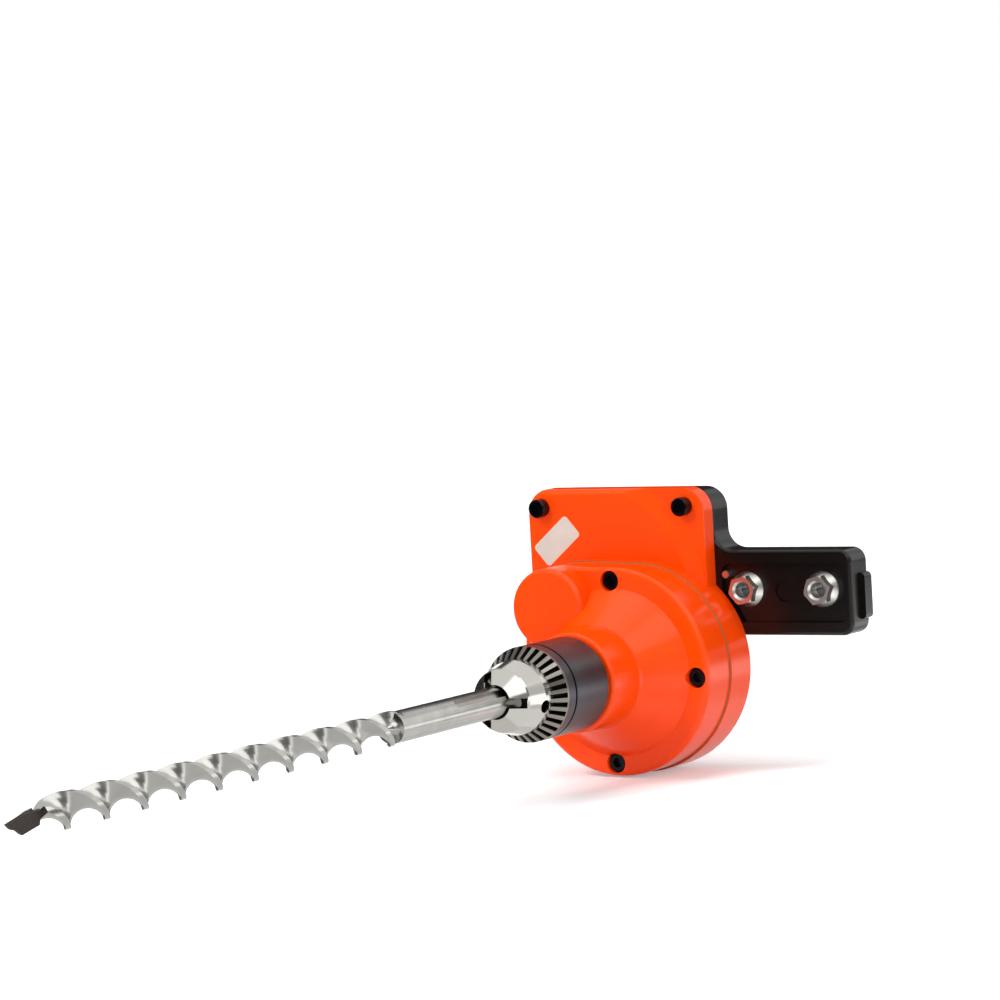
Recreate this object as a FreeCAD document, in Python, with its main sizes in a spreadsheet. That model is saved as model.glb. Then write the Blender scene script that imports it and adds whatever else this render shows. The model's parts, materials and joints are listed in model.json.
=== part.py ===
import FreeCAD, Part
import math
import os
import re
import Sketcher
from FreeCAD import Rotation, Vector

# Chainsaw auger attachment: a one-stage gear case that bolts to a saw in place of its bar,
# a key chuck on its output spindle and a long two-flute auger bit.
# Frame: +X right, +Y towards the saw, +Z up, origin between the two stud holes on the saw face.

SIZES = {
    # Where the two shafts lie
    "axis_x": -78.5, "axis_z": -39.1, "case_y": -64.0, "input_angle": 133.3,
    "gear_module": 1.5, "gear_teeth": 50, "pinion_teeth": 14, "backlash": 0.16,
    "gear_face": 5.0, "gear_width": 15.0,
    # Gear case shells, measured forward and back from the front cover's rim face
    "cover_r": 55.8, "cover_lobe_r": 21.6, "cover_depth": 24.0, "rim_round": 2.6, "edge_step": 1.0,
    "lobe_height": 13.0, "lobe_round": 3.2, "chamber_wall": 14.3, "chamber_lobe_r": 15.2,
    "cover_wall": 3.5, "gasket_thick": 0.8, "shell_depth": 21.2,
    "cone_r": 45.0, "cone_height": 22.0, "boss_base_r": 27.7, "boss_r": 26.5, "boss_length": 48.0,
    "boss_round": 2.0, "cone_fillet": 4.0,
    # Mounting plate on the rear shell
    "plate_left": 69.5, "plate_right": 38.5, "plate_top": 95.0, "plate_corner": 13.0,
    "plate_thick": 10.0, "plate_round": 4.0, "pad_height": 3.0, "pad_r": 62.0, "pad_foot_r": 71.0,
    # Screws and nuts
    "screw_r": 3.0, "head_r": 5.0, "head_high": 6.0, "head_clear": 0.5, "shank_clear": 0.3,
    "hex_socket_r": 2.9, "hex_socket_deep": 3.0,
    "case_screw_circle": 48.8, "case_screw_sink": 7.5, "case_screw_long": 34.0,
    "angle_top": 91.0, "angle_right": -3.0, "angle_bottom": 267.0, "angle_left": 179.0,
    "flange_left_x": -59.7, "flange_right_x": 26.8, "flange_top_z": 85.0,
    "flange_low_x": -62.0, "flange_low_z": 22.0, "flange_screw_long": 24.0,
    "rear_screw_x": 28.3, "rear_screw_z": 14.0, "rear_screw_sink": 7.0,
    "stud_spacing": 45.0, "stud_hole_r": 4.5, "nut_bore_r": 4.05, "nut_flats": 14.0,
    "nut_high": 8.0, "nut_flange_r": 9.6, "nut_flange_high": 1.5, "nut_mouth_r": 5.2, "nut_bevel": 0.6,
    "nut_turn": 12.0,
    # Cast adapter that stands against the saw
    "adapter_thick": 18.0, "adapter_top": 93.5, "adapter_bottom": 3.0, "adapter_corner": 12.0,
    "tab_end": 41.0, "tab_top": 21.1, "tab_low": 24.5, "tab_corner": 7.0, "tab_fillet": 11.0,
    "tab_round": 2.0, "pan_deep": 3.0, "pan_rim": 7.0, "pan_end": 2.8, "pan_start": 4.0,
    "pan_corner": 5.0, "lug_out": 2.8, "lug_top": 8.0, "lug_low": 16.6, "lug_deep": 8.0,
    "lug_root": 2.0, "dimple_x": -0.2, "dimple_z": -0.8, "dimple_r": 6.0, "dimple_deep": 1.5,
    "adapter_step": 0.5,
    "pin_x": -33.5, "pin_z": 8.3, "pin_r": 2.0, "pin_proud": 1.2, "pin_rear": 4.0,
    "clutch_r": 33.0, "clutch_deep": 13.0, "pocket_deep": 12.0, "casting_rib": 4.6,
    "pocket_corner": 4.0,
    # Bearings: bore, outside and width of the three ball bearing sizes
    "big_bore": 8.5, "big_out": 20.0, "big_wide": 12.0,
    "mid_bore": 7.5, "mid_out": 17.5, "mid_wide": 11.0,
    "small_bore": 6.0, "small_out": 14.0, "small_wide": 8.0,
    "ring_share": 0.27, "shield_thick": 0.8, "shield_gap": 0.1, "bearing_fit": 0.03,
    "seal_wide": 6.0, "seal_lip": 0.1, "bearing_gap": 11.0, "shoulder_lip": 3.5,
    "thrust_r": 11.0, "seal_sink": 0.2, "seal_land": 2.0, "end_gap": 1.0,
    "seat_wall": 0.5,
    # Output spindle, its gear and its key
    "gear_bore": 10.0, "gear_hub_r": 15.0, "web_r": 30.0, "web_deep": 4.0, "key_wide": 6.0,
    "key_high": 3.0, "spindle_nose_r": 6.3, "nose_long": 16.0, "rear_bearing_gap": 3.2,
    "circlip_wide": 1.2, "circlip_r": 3.0, "circlip_sink": 0.6, "circlip_eye_r": 1.8,
    "circlip_hole_r": 0.9,
    # Input shaft and the coupling that the saw's sprocket drives
    "coupling_r": 18.0, "coupling_long": 11.5, "coupling_gap": 0.8, "socket_deep": 6.0,
    "socket_lobes": 7, "socket_r": 13.2, "socket_wave": 1.3, "coupling_key": 3.0,
    # Key chuck
    "chuck_gap": 2.0, "collar_r": 25.0, "collar_wall": 2.5, "collar_long": 41.0,
    "collar_groove": 0.7, "collar_groove_wide": 1.6, "collar_groove_back": 6.0,
    "collar_round": 1.2, "collar_lip": 3.0,
    "body_wall": 6.2, "nose_lip": 0.7, "nose_taper": 2.0, "nose_length": 23.5, "nose_cone": 6.6,
    "nose_bevel": 0.5, "nose_band": 5.0,
    "ring_width": 10.0, "ring_rim": 2.2, "ring_slope": 5.4, "ring_teeth": 31,
    "tooth_deep": 2.8, "tooth_share": 0.25, "tooth_flare": 1.3, "tooth_root_share": 0.4,
    "tooth_run": 1.2, "run_fit": 0.08, "nut_wide": 9.0, "nut_back": 18.0, "nut_clear": 0.1,
    "chuck_bore": 8.25, "mouth_r": 9.0, "mouth_deep": 3.0, "bore_spare": 1.0,
    "jaw_r": 3.5, "jaw_depth": 8.683, "jaw_long": 42.0, "jaw_front_r": 9.0, "jaw_angle": -4.0,
    "jaw_back": 5.5, "jaw_spare": 0.8, "jaw_hole_long": 48.0, "jaw_slot_wide": 5.2,
    "jaw_slot_r": 15.9, "jaw_slot_deep": 1.4, "jaw_slot_in": 8.0,
    "grip_gap": 0.05, "key_hole_r": 3.4, "key_hole_deep": 3.6, "key_hole_angle": -13.0,
    "key_hole_back": 4.8, "chuck_screw_r": 3.0, "chuck_screw_head": 5.0,
    "chuck_screw_high": 0.8, "chuck_screw_bite": 10.0,
    # Auger bit
    "shank_r": 7.95, "shank_grip": 42.5, "shank_out": 99.5, "flute_r": 8.7, "flute_long": 304.0,
    "lead": 60.0, "flute_angle": 109.0, "core_half": 1.65, "land_half": 1.9, "runout": 7.0,
    "shank_bevel": 1.0, "taper_long": 22.0, "taper_r": 2.8,
    "slot_wide": 4.5, "slot_deep": 2.2, "slot_front": 54.0, "slot_angle": 42.0,
    "tip_long": 12.5, "tip_seat": 12.0, "tip_thick": 2.0, "tip_set": 0.5, "tip_fit": 0.03,
    "tip_tongue_half": 3.5, "tip_back_half": 3.0, "tip_wing": 12.0, "tip_wing_half": 6.3,
    "tip_notch": 6.5, "tip_notch_half": 3.0, "tip_spur": 3.5, "tip_spur_half": 2.6,
    "tip_angle": 78.7,
}

doc = FreeCAD.newDocument("auger_attachment")
sheet = doc.addObject("Spreadsheet::Sheet", "Sizes")
for row, (alias, number) in enumerate(SIZES.items(), start=1):
    sheet.set("A%d" % row, alias)
    sheet.set("B%d" % row, str(number))
    sheet.setAlias("B%d" % row, alias)
doc.recompute()

made = []


def ref(text):
    """Writes an expression with every alias in it read from the sheet."""
    return re.sub(r"[a-z_]+", lambda m: "Sizes." + m[0] if m[0] in SIZES else m[0], str(text))


def value(text):
    """The number that an expression on the sheet's aliases stands for."""
    return float(sheet.evalExpression(str(text)))


# Places that several pieces share, as expressions on the sheet
PITCH = "gear_module * (gear_teeth + pinion_teeth) / 2"
INPUT_X = PITCH + " * cos(input_angle)"
INPUT_Z = PITCH + " * sin(input_angle)"
SEAM = "cover_depth"
SHELL_FRONT = "cover_depth + gasket_thick"
SHELL_REAR = SHELL_FRONT + " + shell_depth"
SHELL_R = "cover_r + edge_step"
SHELL_LOBE_R = "cover_lobe_r + edge_step"
CHAMBER_R = "cover_r - chamber_wall"
PLATE_FACE = SHELL_REAR + " - plate_thick"
PAD_FACE = PLATE_FACE + " - pad_height"
ADAPTER_FRONT = "-adapter_thick"
HEAD_HOLE = "head_r + head_clear"
SHANK_HOLE = "screw_r + shank_clear"
FRONT_BEARING = "-boss_length + seal_wide + seat_wall + big_wide / 2"
SECOND_BEARING = FRONT_BEARING + " + big_wide + bearing_gap"
REAR_BEARING = "gear_face + gear_width + circlip_wide + rear_bearing_gap + end_gap + mid_wide / 2"
INPUT_FRONT_BEARING = "cover_wall - seat_wall - small_wide / 2"
INPUT_REAR_BEARING = SHELL_REAR + " - seal_wide - end_gap - mid_wide / 2"
COUPLING_START = SHELL_REAR + " + adapter_thick - clutch_deep + coupling_gap"
CHUCK_REAR = "-boss_length - chuck_gap"
RING_REAR = CHUCK_REAR + " - collar_long"
RING_FRONT = RING_REAR + " - ring_width"
NOSE_FRONT = RING_FRONT + " - nose_length"
JAW_FRONT = NOSE_FRONT + " + jaw_back"
NUT_MIDDLE = RING_REAR + " + nut_back - nut_wide / 2"
JAW_RISE = "(collar_r - jaw_depth - jaw_front_r) / (%s - (%s))" % (NUT_MIDDLE, JAW_FRONT)
BODY_R = "(collar_r - body_wall)"
NOSE_R = BODY_R + " + nose_lip"
NOSE_EDGE_R = BODY_R + " - nose_taper"
RING_FRONT_R = "collar_r - ring_slope"
SLEEVE_BORE = BODY_R + " + run_fit"
SEAL_SEAT = "mid_out - seal_land"
SHANK_REAR = NOSE_FRONT + " + shank_grip"
FLUTE_START = NOSE_FRONT + " - shank_out"
FLUTE_END = FLUTE_START + " - flute_long"
CASE_SCREW_ANGLES = ("angle_top", "angle_right", "angle_bottom", "angle_left")
FLANGE_PLACES = (("flange_left_x", "flange_top_z"), ("flange_right_x", "flange_top_z"),
                 ("flange_low_x", "flange_low_z"))


def place(item, x="0", y="0", z="0"):
    """Binds where an object stands to expressions on the sheet."""
    item.setExpression("Placement.Base.x", ref(x))
    item.setExpression("Placement.Base.y", ref(y))
    item.setExpression("Placement.Base.z", ref(z))


def on_drill_axis(item):
    place(item, "axis_x", "case_y", "axis_z")


def on_input_axis(item):
    place(item, "axis_x + " + INPUT_X, "case_y", "axis_z + " + INPUT_Z)


def new_body(label, where=None):
    """A body that is one sub-part, standing on one of the shaft axes or at the origin."""
    item = doc.addObject("PartDesign::Body", label)
    item.Label = label
    if where:
        where(item)
    made.append(item)
    return item


def sketch_on(item, role, offset="0"):
    """A sketch on one of the body's own origin planes, moved along the plane's normal."""
    plane = next(p for p in item.Origin.OriginFeatures if p.Role == role)
    sketch = item.newObject("Sketcher::SketchObject", item.Name + "_sketch")
    sketch.AttachmentSupport = [(plane, "")]
    sketch.MapMode = "FlatFace"
    sketch.setExpression("AttachmentOffset.Base.z", ref(offset))
    return sketch


def face_sketch(item, y):
    """A sketch square to the shafts at the given y; its x is X and its y is Z."""
    return sketch_on(item, "XZ_Plane", "-(%s)" % y)


def pin(sketch, geometry, end, x, y):
    """Fixes one point of a sketch at two expressions."""
    for kind, text, axis in (("DistanceX", x, -2), ("DistanceY", y, -1)):
        if text == "0":
            sketch.addConstraint(Sketcher.Constraint("PointOnObject", geometry, end, axis))
            continue
        index = sketch.addConstraint(Sketcher.Constraint(kind, -1, 1, geometry, end, value(text)))
        sketch.setExpression("Constraints[%d]" % index, ref(text))


def outline(sketch, points):
    """Closes a polygon through points given as pairs of expressions."""
    spots = [Vector(value(x), value(y), 0) for x, y in points]
    first = sketch.GeometryCount
    count = len(points)
    for i, spot in enumerate(spots):
        sketch.addGeometry(Part.LineSegment(spot, spots[(i + 1) % count]))
    for i, (x, y) in enumerate(points):
        sketch.addConstraint(Sketcher.Constraint("Coincident", first + i, 2, first + (i + 1) % count, 1))
        pin(sketch, first + i, 1, x, y)


def box_outline(sketch, left, right, low, high):
    outline(sketch, [(left, low), (right, low), (right, high), (left, high)])


def circle(sketch, radius, x="0", y="0"):
    """A circle whose centre and radius are expressions."""
    centre = Vector(value(x), value(y), 0)
    index = sketch.addGeometry(Part.Circle(centre, Vector(0, 0, 1), value(radius)))
    pin(sketch, index, 3, x, y)
    at = sketch.addConstraint(Sketcher.Constraint("Radius", index, value(radius)))
    sketch.setExpression("Constraints[%d]" % at, ref(radius))


def belt(sketch, big_r, small_r):
    """Two arcs, about the drill axis and the input axis, joined by their common tangents."""
    big, small = value(big_r), value(small_r)
    centre = Vector(value(INPUT_X), value(INPUT_Z), 0)
    toward = math.atan2(centre.y, centre.x)
    lean = math.acos((big - small) / centre.Length)

    def rim(middle, radius, angle):
        return middle + Vector(radius * math.cos(angle), radius * math.sin(angle), 0)

    up = Vector(0, 0, 1)
    origin = Vector(0, 0, 0)
    a = sketch.addGeometry(Part.ArcOfCircle(
        Part.Circle(origin, up, big), toward + lean, toward - lean + 2 * math.pi))
    b = sketch.addGeometry(Part.LineSegment(
        rim(origin, big, toward - lean), rim(centre, small, toward - lean)))
    c = sketch.addGeometry(Part.ArcOfCircle(
        Part.Circle(centre, up, small), toward - lean, toward + lean))
    d = sketch.addGeometry(Part.LineSegment(
        rim(centre, small, toward + lean), rim(origin, big, toward + lean)))
    for left, left_end, right, right_end in ((a, 2, b, 1), (b, 2, c, 1), (c, 2, d, 1), (d, 2, a, 1)):
        sketch.addConstraint(Sketcher.Constraint("Tangent", left, left_end, right, right_end))
    sketch.addConstraint(Sketcher.Constraint("Coincident", a, 3, -1, 1))
    pin(sketch, c, 3, INPUT_X, INPUT_Z)
    for index, radius in ((a, big_r), (c, small_r)):
        at = sketch.addConstraint(Sketcher.Constraint("Radius", index, value(radius)))
        sketch.setExpression("Constraints[%d]" % at, ref(radius))


def feature(item, kind, sketch, **settings):
    """Adds a sketch-based feature to a body and computes it."""
    made_feature = item.newObject("PartDesign::" + kind, item.Name + "_" + kind.lower())
    made_feature.Profile = sketch
    for name, setting in settings.items():
        if isinstance(setting, str):
            made_feature.setExpression(name, ref(setting))
        else:
            setattr(made_feature, name, setting)
    sketch.Visibility = False
    doc.recompute()
    return made_feature


def pad_back(item, sketch, length):
    """Grows the sketch towards +Y."""
    return feature(item, "Pad", sketch, Length=length, Reversed=True)


def pad_forward(item, sketch, length):
    """Grows the sketch towards -Y."""
    return feature(item, "Pad", sketch, Length=length, Reversed=False)


def cut_back(item, sketch, length):
    """Cuts from the sketch towards +Y."""
    return cut(item, sketch, length, False)


def cut_forward(item, sketch, length):
    """Cuts from the sketch towards -Y."""
    return cut(item, sketch, length, True)


def cut(item, sketch, length, turned):
    before = item.Tip.Shape.Volume
    pocket = feature(item, "Pocket", sketch, Length=length, Reversed=turned)
    assert pocket.Shape.Volume < before, "pocket of %s cuts nothing" % item.Label
    return pocket


def turned(item, profile, kind="Revolution"):
    """Revolves a closed profile of (radius, y) pairs about the body's Y axis."""
    sketch = sketch_on(item, "XY_Plane")
    outline(sketch, profile)
    before = item.Tip.Shape.Volume if kind == "Groove" else 0
    result = feature(item, kind, sketch, ReferenceAxis=(sketch, ["V_Axis"]), Angle=360.0)
    if kind == "Groove":
        assert result.Shape.Volume < before, "groove of %s cuts nothing" % item.Label
    return result


def round_edges(item, radius, wanted, kind="Fillet"):
    """Rounds those edges of the body's last feature that a test on the edge picks."""
    base = item.Tip
    names = ["Edge%d" % (i + 1) for i, edge in enumerate(base.Shape.Edges) if wanted(edge)]
    assert names, "no edge to round on " + item.Label
    dress = item.newObject("PartDesign::" + kind, item.Name + "_" + kind.lower())
    dress.Base = (base, names)
    dress.setExpression("Radius" if kind == "Fillet" else "Size", ref(radius))
    doc.recompute()
    return dress


def lies_at(edge, y, tolerance=0.01):
    """Whether every point of the edge's box is at the given y."""
    box = edge.BoundBox
    return abs(box.YMin - y) < tolerance and abs(box.YMax - y) < tolerance


def upright(edge, x, z, tolerance=0.01):
    """Whether the edge runs along Y through the given x and z."""
    box = edge.BoundBox
    middle = edge.CenterOfMass
    return box.YLength > tolerance and abs(middle.x - x) < tolerance and abs(middle.z - z) < tolerance


def settled(shape):
    """The same shape with its own placement worked into its geometry."""
    plain = shape.copy()
    plain.Placement = FreeCAD.Placement()
    plain.transformShape(shape.Placement.toMatrix(), True)
    return plain


def shape_part(label, shape, where=None):
    """A sub-part whose solid is worked out by functions from the sheet's values."""
    item = doc.addObject("Part::Feature", label)
    item.Label = label
    item.Shape = settled(shape)
    if where:
        where(item)
    made.append(item)
    return item


def rod(radius, start, end, x=0.0, z=0.0):
    """A cylinder along Y between two places."""
    return Part.makeCylinder(radius, end - start, Vector(x, start, z), Vector(0, 1, 0))


def polar(radius, angle):
    """A point square to the shafts, with the angle in degrees from +X towards +Z."""
    turn = math.radians(angle)
    return Vector(radius * math.cos(turn), 0, radius * math.sin(turn))


def about_y(shape, angle):
    """Turns a copy of a shape about the Y axis, from +X towards +Z."""
    turned_shape = shape.copy()
    turned_shape.rotate(Vector(0, 0, 0), Vector(0, -1, 0), angle)
    return turned_shape


def socket_screw(head_y, long, direction):
    """A hexagon socket screw: the head's seat is at head_y, its shank runs along direction."""
    radius, head = value("screw_r"), value("head_r")
    high = value("head_high")
    along = Vector(0, direction, 0)
    seat = Vector(0, head_y, 0)
    screw = Part.makeCylinder(head, high, seat - along * high, along)
    top = screw.Edges[[lies_at(e, head_y - direction * high) for e in screw.Edges].index(True)]
    screw = screw.makeChamfer(high / 10, [top])
    screw = screw.fuse(Part.makeCylinder(radius, long, seat, along))
    hexagon = [polar(value("hex_socket_r"), 60 * i) + seat - along * high for i in range(7)]
    socket = Part.Face(Part.makePolygon(hexagon)).extrude(along * value("hex_socket_deep"))
    return screw.cut(socket)


def gear_blank(teeth, phase, start, width):
    """A spur gear on the Y axis: involute flanks of three points, from root to tip circle."""
    module = value("gear_module")
    pressure = math.radians(20)
    pitch = module * teeth / 2
    base = pitch * math.cos(pressure)
    tip = pitch + module
    root = pitch - 1.25 * module
    half = math.pi / (2 * teeth) - value("backlash") / (4 * pitch)

    def flank(radius):
        """Half the tooth's angle where the involute meets a radius."""
        angle = math.acos(min(1.0, base / radius))
        return half + (math.tan(pressure) - pressure) - (math.tan(angle) - angle)

    foot = max(root, base)
    radii = [foot, (foot + tip) / 2, tip]
    points = []
    for tooth in range(teeth):
        middle = math.radians(phase) + 2 * math.pi * tooth / teeth
        side = [(root, -flank(foot))] + [(radius, -flank(radius)) for radius in radii]
        side = side[1:] if root >= base else side
        for radius, offset in side + [(radius, -offset) for radius, offset in reversed(side)]:
            points.append(polar(radius, math.degrees(middle + offset)) + Vector(0, start, 0))
    points.append(points[0])
    return Part.Face(Part.makePolygon(points)).extrude(Vector(0, width, 0))


def front_gear_case():
    """Front cover: rim, raised round lobe over the input shaft, cone and bearing boss."""
    item = new_body("front_gear_case", on_drill_axis)
    rim = face_sketch(item, SEAM)
    belt(rim, "cover_r", "cover_lobe_r")
    pad_forward(item, rim, "cover_depth")
    round_edges(item, "rim_round", lambda edge: lies_at(edge, 0))
    lobe = face_sketch(item, SEAM)
    circle(lobe, "cover_lobe_r", INPUT_X, INPUT_Z)
    pad_forward(item, lobe, "cover_depth + lobe_height")
    round_edges(item, "lobe_round", lambda edge: lies_at(edge, -value("lobe_height")))
    turned(item, [("0", "1"), ("cone_r", "1"), ("cone_r", "0"), ("boss_base_r", "-cone_height"),
                  ("boss_r", "-boss_length"), ("0", "-boss_length")])
    round_edges(item, "boss_round", lambda edge: lies_at(edge, -value("boss_length")))
    base_r = value("boss_base_r")
    round_edges(item, "cone_fillet", lambda edge: lies_at(edge, -value("cone_height"))
                and edge.BoundBox.XLength > 1.9 * base_r)
    chamber = face_sketch(item, SEAM)
    belt(chamber, CHAMBER_R, "chamber_lobe_r")
    cut_forward(item, chamber, "cover_depth - cover_wall")
    seat = face_sketch(item, SEAM)
    circle(seat, "small_out + bearing_fit", INPUT_X, INPUT_Z)
    cut_forward(item, seat, "%s - (%s) + small_wide / 2" % (SEAM, INPUT_FRONT_BEARING))
    outer = "big_out + bearing_fit"
    lip = "big_out - shoulder_lip"
    front_seat = FRONT_BEARING + " + big_wide / 2"
    second_seat = SECOND_BEARING + " - big_wide / 2"
    turned(item, [("0", "-boss_length - 1"), (outer, "-boss_length - 1"), (outer, front_seat),
                  (lip, front_seat), (lip, second_seat), (outer, second_seat),
                  (outer, "cover_wall + 1"), ("0", "cover_wall + 1")], "Groove")
    heads = face_sketch(item, "-2")
    shanks = face_sketch(item, "-2")
    for angle in CASE_SCREW_ANGLES:
        x = "case_screw_circle * cos(%s)" % angle
        z = "case_screw_circle * sin(%s)" % angle
        circle(heads, HEAD_HOLE, x, z)
        circle(shanks, SHANK_HOLE, x, z)
    cut_back(item, heads, "case_screw_sink + 2")
    cut_back(item, shanks, "cover_depth + 4")


def case_gasket():
    """Thin sheet between the two shells, with the chamber and the screw holes cut out."""
    item = new_body("case_gasket", on_drill_axis)
    sheet_outline = face_sketch(item, SEAM)
    belt(sheet_outline, "cover_r + edge_step / 2", "cover_lobe_r + edge_step / 2")
    pad_back(item, sheet_outline, "gasket_thick")
    chamber = face_sketch(item, SEAM)
    belt(chamber, CHAMBER_R, "chamber_lobe_r")
    cut_back(item, chamber, "gasket_thick")
    holes = face_sketch(item, SEAM)
    for angle in CASE_SCREW_ANGLES:
        circle(holes, SHANK_HOLE, "case_screw_circle * cos(%s)" % angle,
               "case_screw_circle * sin(%s)" % angle)
    cut_back(item, holes, "gasket_thick")


def flange_seat(x, z):
    """The face that a flange screw's head sits on: the raised pad's, or the plate's beyond it."""
    from_input = math.hypot(value(x) - value(INPUT_X), value(z) - value(INPUT_Z))
    return PAD_FACE if from_input < value("pad_r") else PLATE_FACE


def spot_face(item, seat, x, z):
    """Clears the room over a screw's seat, where the casting reaches into it."""
    room = face_sketch(item, seat)
    circle(room, HEAD_HOLE, x, z)
    feature(item, "Pocket", room, Length="head_high", Reversed=True)


def rear_gear_case():
    """Rear shell with the mounting plate, the two rear bearing seats and the shaft seal's seat."""
    item = new_body("rear_gear_case", on_drill_axis)
    plate = face_sketch(item, SHELL_REAR)
    box_outline(plate, "-plate_left", "plate_right", "0", "plate_top")
    pad_forward(item, plate, "plate_thick + pad_height")
    left, right, top = -value("plate_left"), value("plate_right"), value("plate_top")
    corners = [(left, 0), (right, 0), (right, top), (left, top)]
    round_edges(item, "plate_corner", lambda e: any(upright(e, x, z) for x, z in corners))
    face = value(PAD_FACE)
    round_edges(item, "plate_round", lambda edge: lies_at(edge, face))
    flank = sketch_on(item, "XY_Plane", INPUT_Z)
    far = "3 * pad_foot_r"
    outline(flank, [("%s + pad_r" % INPUT_X, PAD_FACE),
                    ("%s + pad_foot_r" % INPUT_X, PLATE_FACE),
                    ("%s + %s" % (INPUT_X, far), PLATE_FACE),
                    ("%s + %s" % (INPUT_X, far), PAD_FACE + " - 1"),
                    ("%s + pad_r - pad_height" % INPUT_X, PAD_FACE + " - 1")])
    middle = flank.addGeometry(Part.LineSegment(
        Vector(value(INPUT_X), 0, 0), Vector(value(INPUT_X), value("plate_thick"), 0)), True)
    pin(flank, middle, 1, INPUT_X, "0")
    pin(flank, middle, 2, INPUT_X, "plate_thick")
    feature(item, "Groove", flank, ReferenceAxis=(flank, ["Axis0"]), Angle=360.0)
    for x, z in FLANGE_PLACES:
        spot_face(item, flange_seat(x, z), x, z)
    shell = face_sketch(item, SHELL_REAR)
    belt(shell, SHELL_R, SHELL_LOBE_R)
    pad_forward(item, shell, "shell_depth")
    relief = face_sketch(item, SHELL_FRONT)
    circle(relief, "gear_hub_r + 1")
    cut_back(item, relief, "1")
    rear_seat = face_sketch(item, SHELL_FRONT)
    circle(rear_seat, "mid_out + bearing_fit")
    cut_back(item, rear_seat, "%s + mid_wide / 2 - (%s)" % (REAR_BEARING, SHELL_FRONT))
    input_seat = face_sketch(item, SHELL_FRONT)
    circle(input_seat, "mid_out + bearing_fit", INPUT_X, INPUT_Z)
    cut_back(item, input_seat, "%s + mid_wide / 2 - (%s)" % (INPUT_REAR_BEARING, SHELL_FRONT))
    seal_seat = face_sketch(item, SHELL_REAR)
    circle(seal_seat, SEAL_SEAT, INPUT_X, INPUT_Z)
    cut_forward(item, seal_seat, "seal_wide + end_gap")
    threads = face_sketch(item, SHELL_FRONT)
    for angle in CASE_SCREW_ANGLES:
        circle(threads, "screw_r + bearing_fit", "case_screw_circle * cos(%s)" % angle,
               "case_screw_circle * sin(%s)" % angle)
    cut_back(item, threads, "case_screw_long + case_screw_sink + 1 - (%s)" % SHELL_FRONT)
    through = face_sketch(item, PAD_FACE + " - 1")
    for x, z in FLANGE_PLACES:
        circle(through, SHANK_HOLE, x, z)
    cut_back(item, through, "plate_thick + pad_height + 2")
    rear_thread = face_sketch(item, SHELL_REAR)
    circle(rear_thread, "screw_r + bearing_fit", "rear_screw_x", "rear_screw_z")
    cut_forward(item, rear_thread, "flange_screw_long + rear_screw_sink - adapter_thick + 1")


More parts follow.
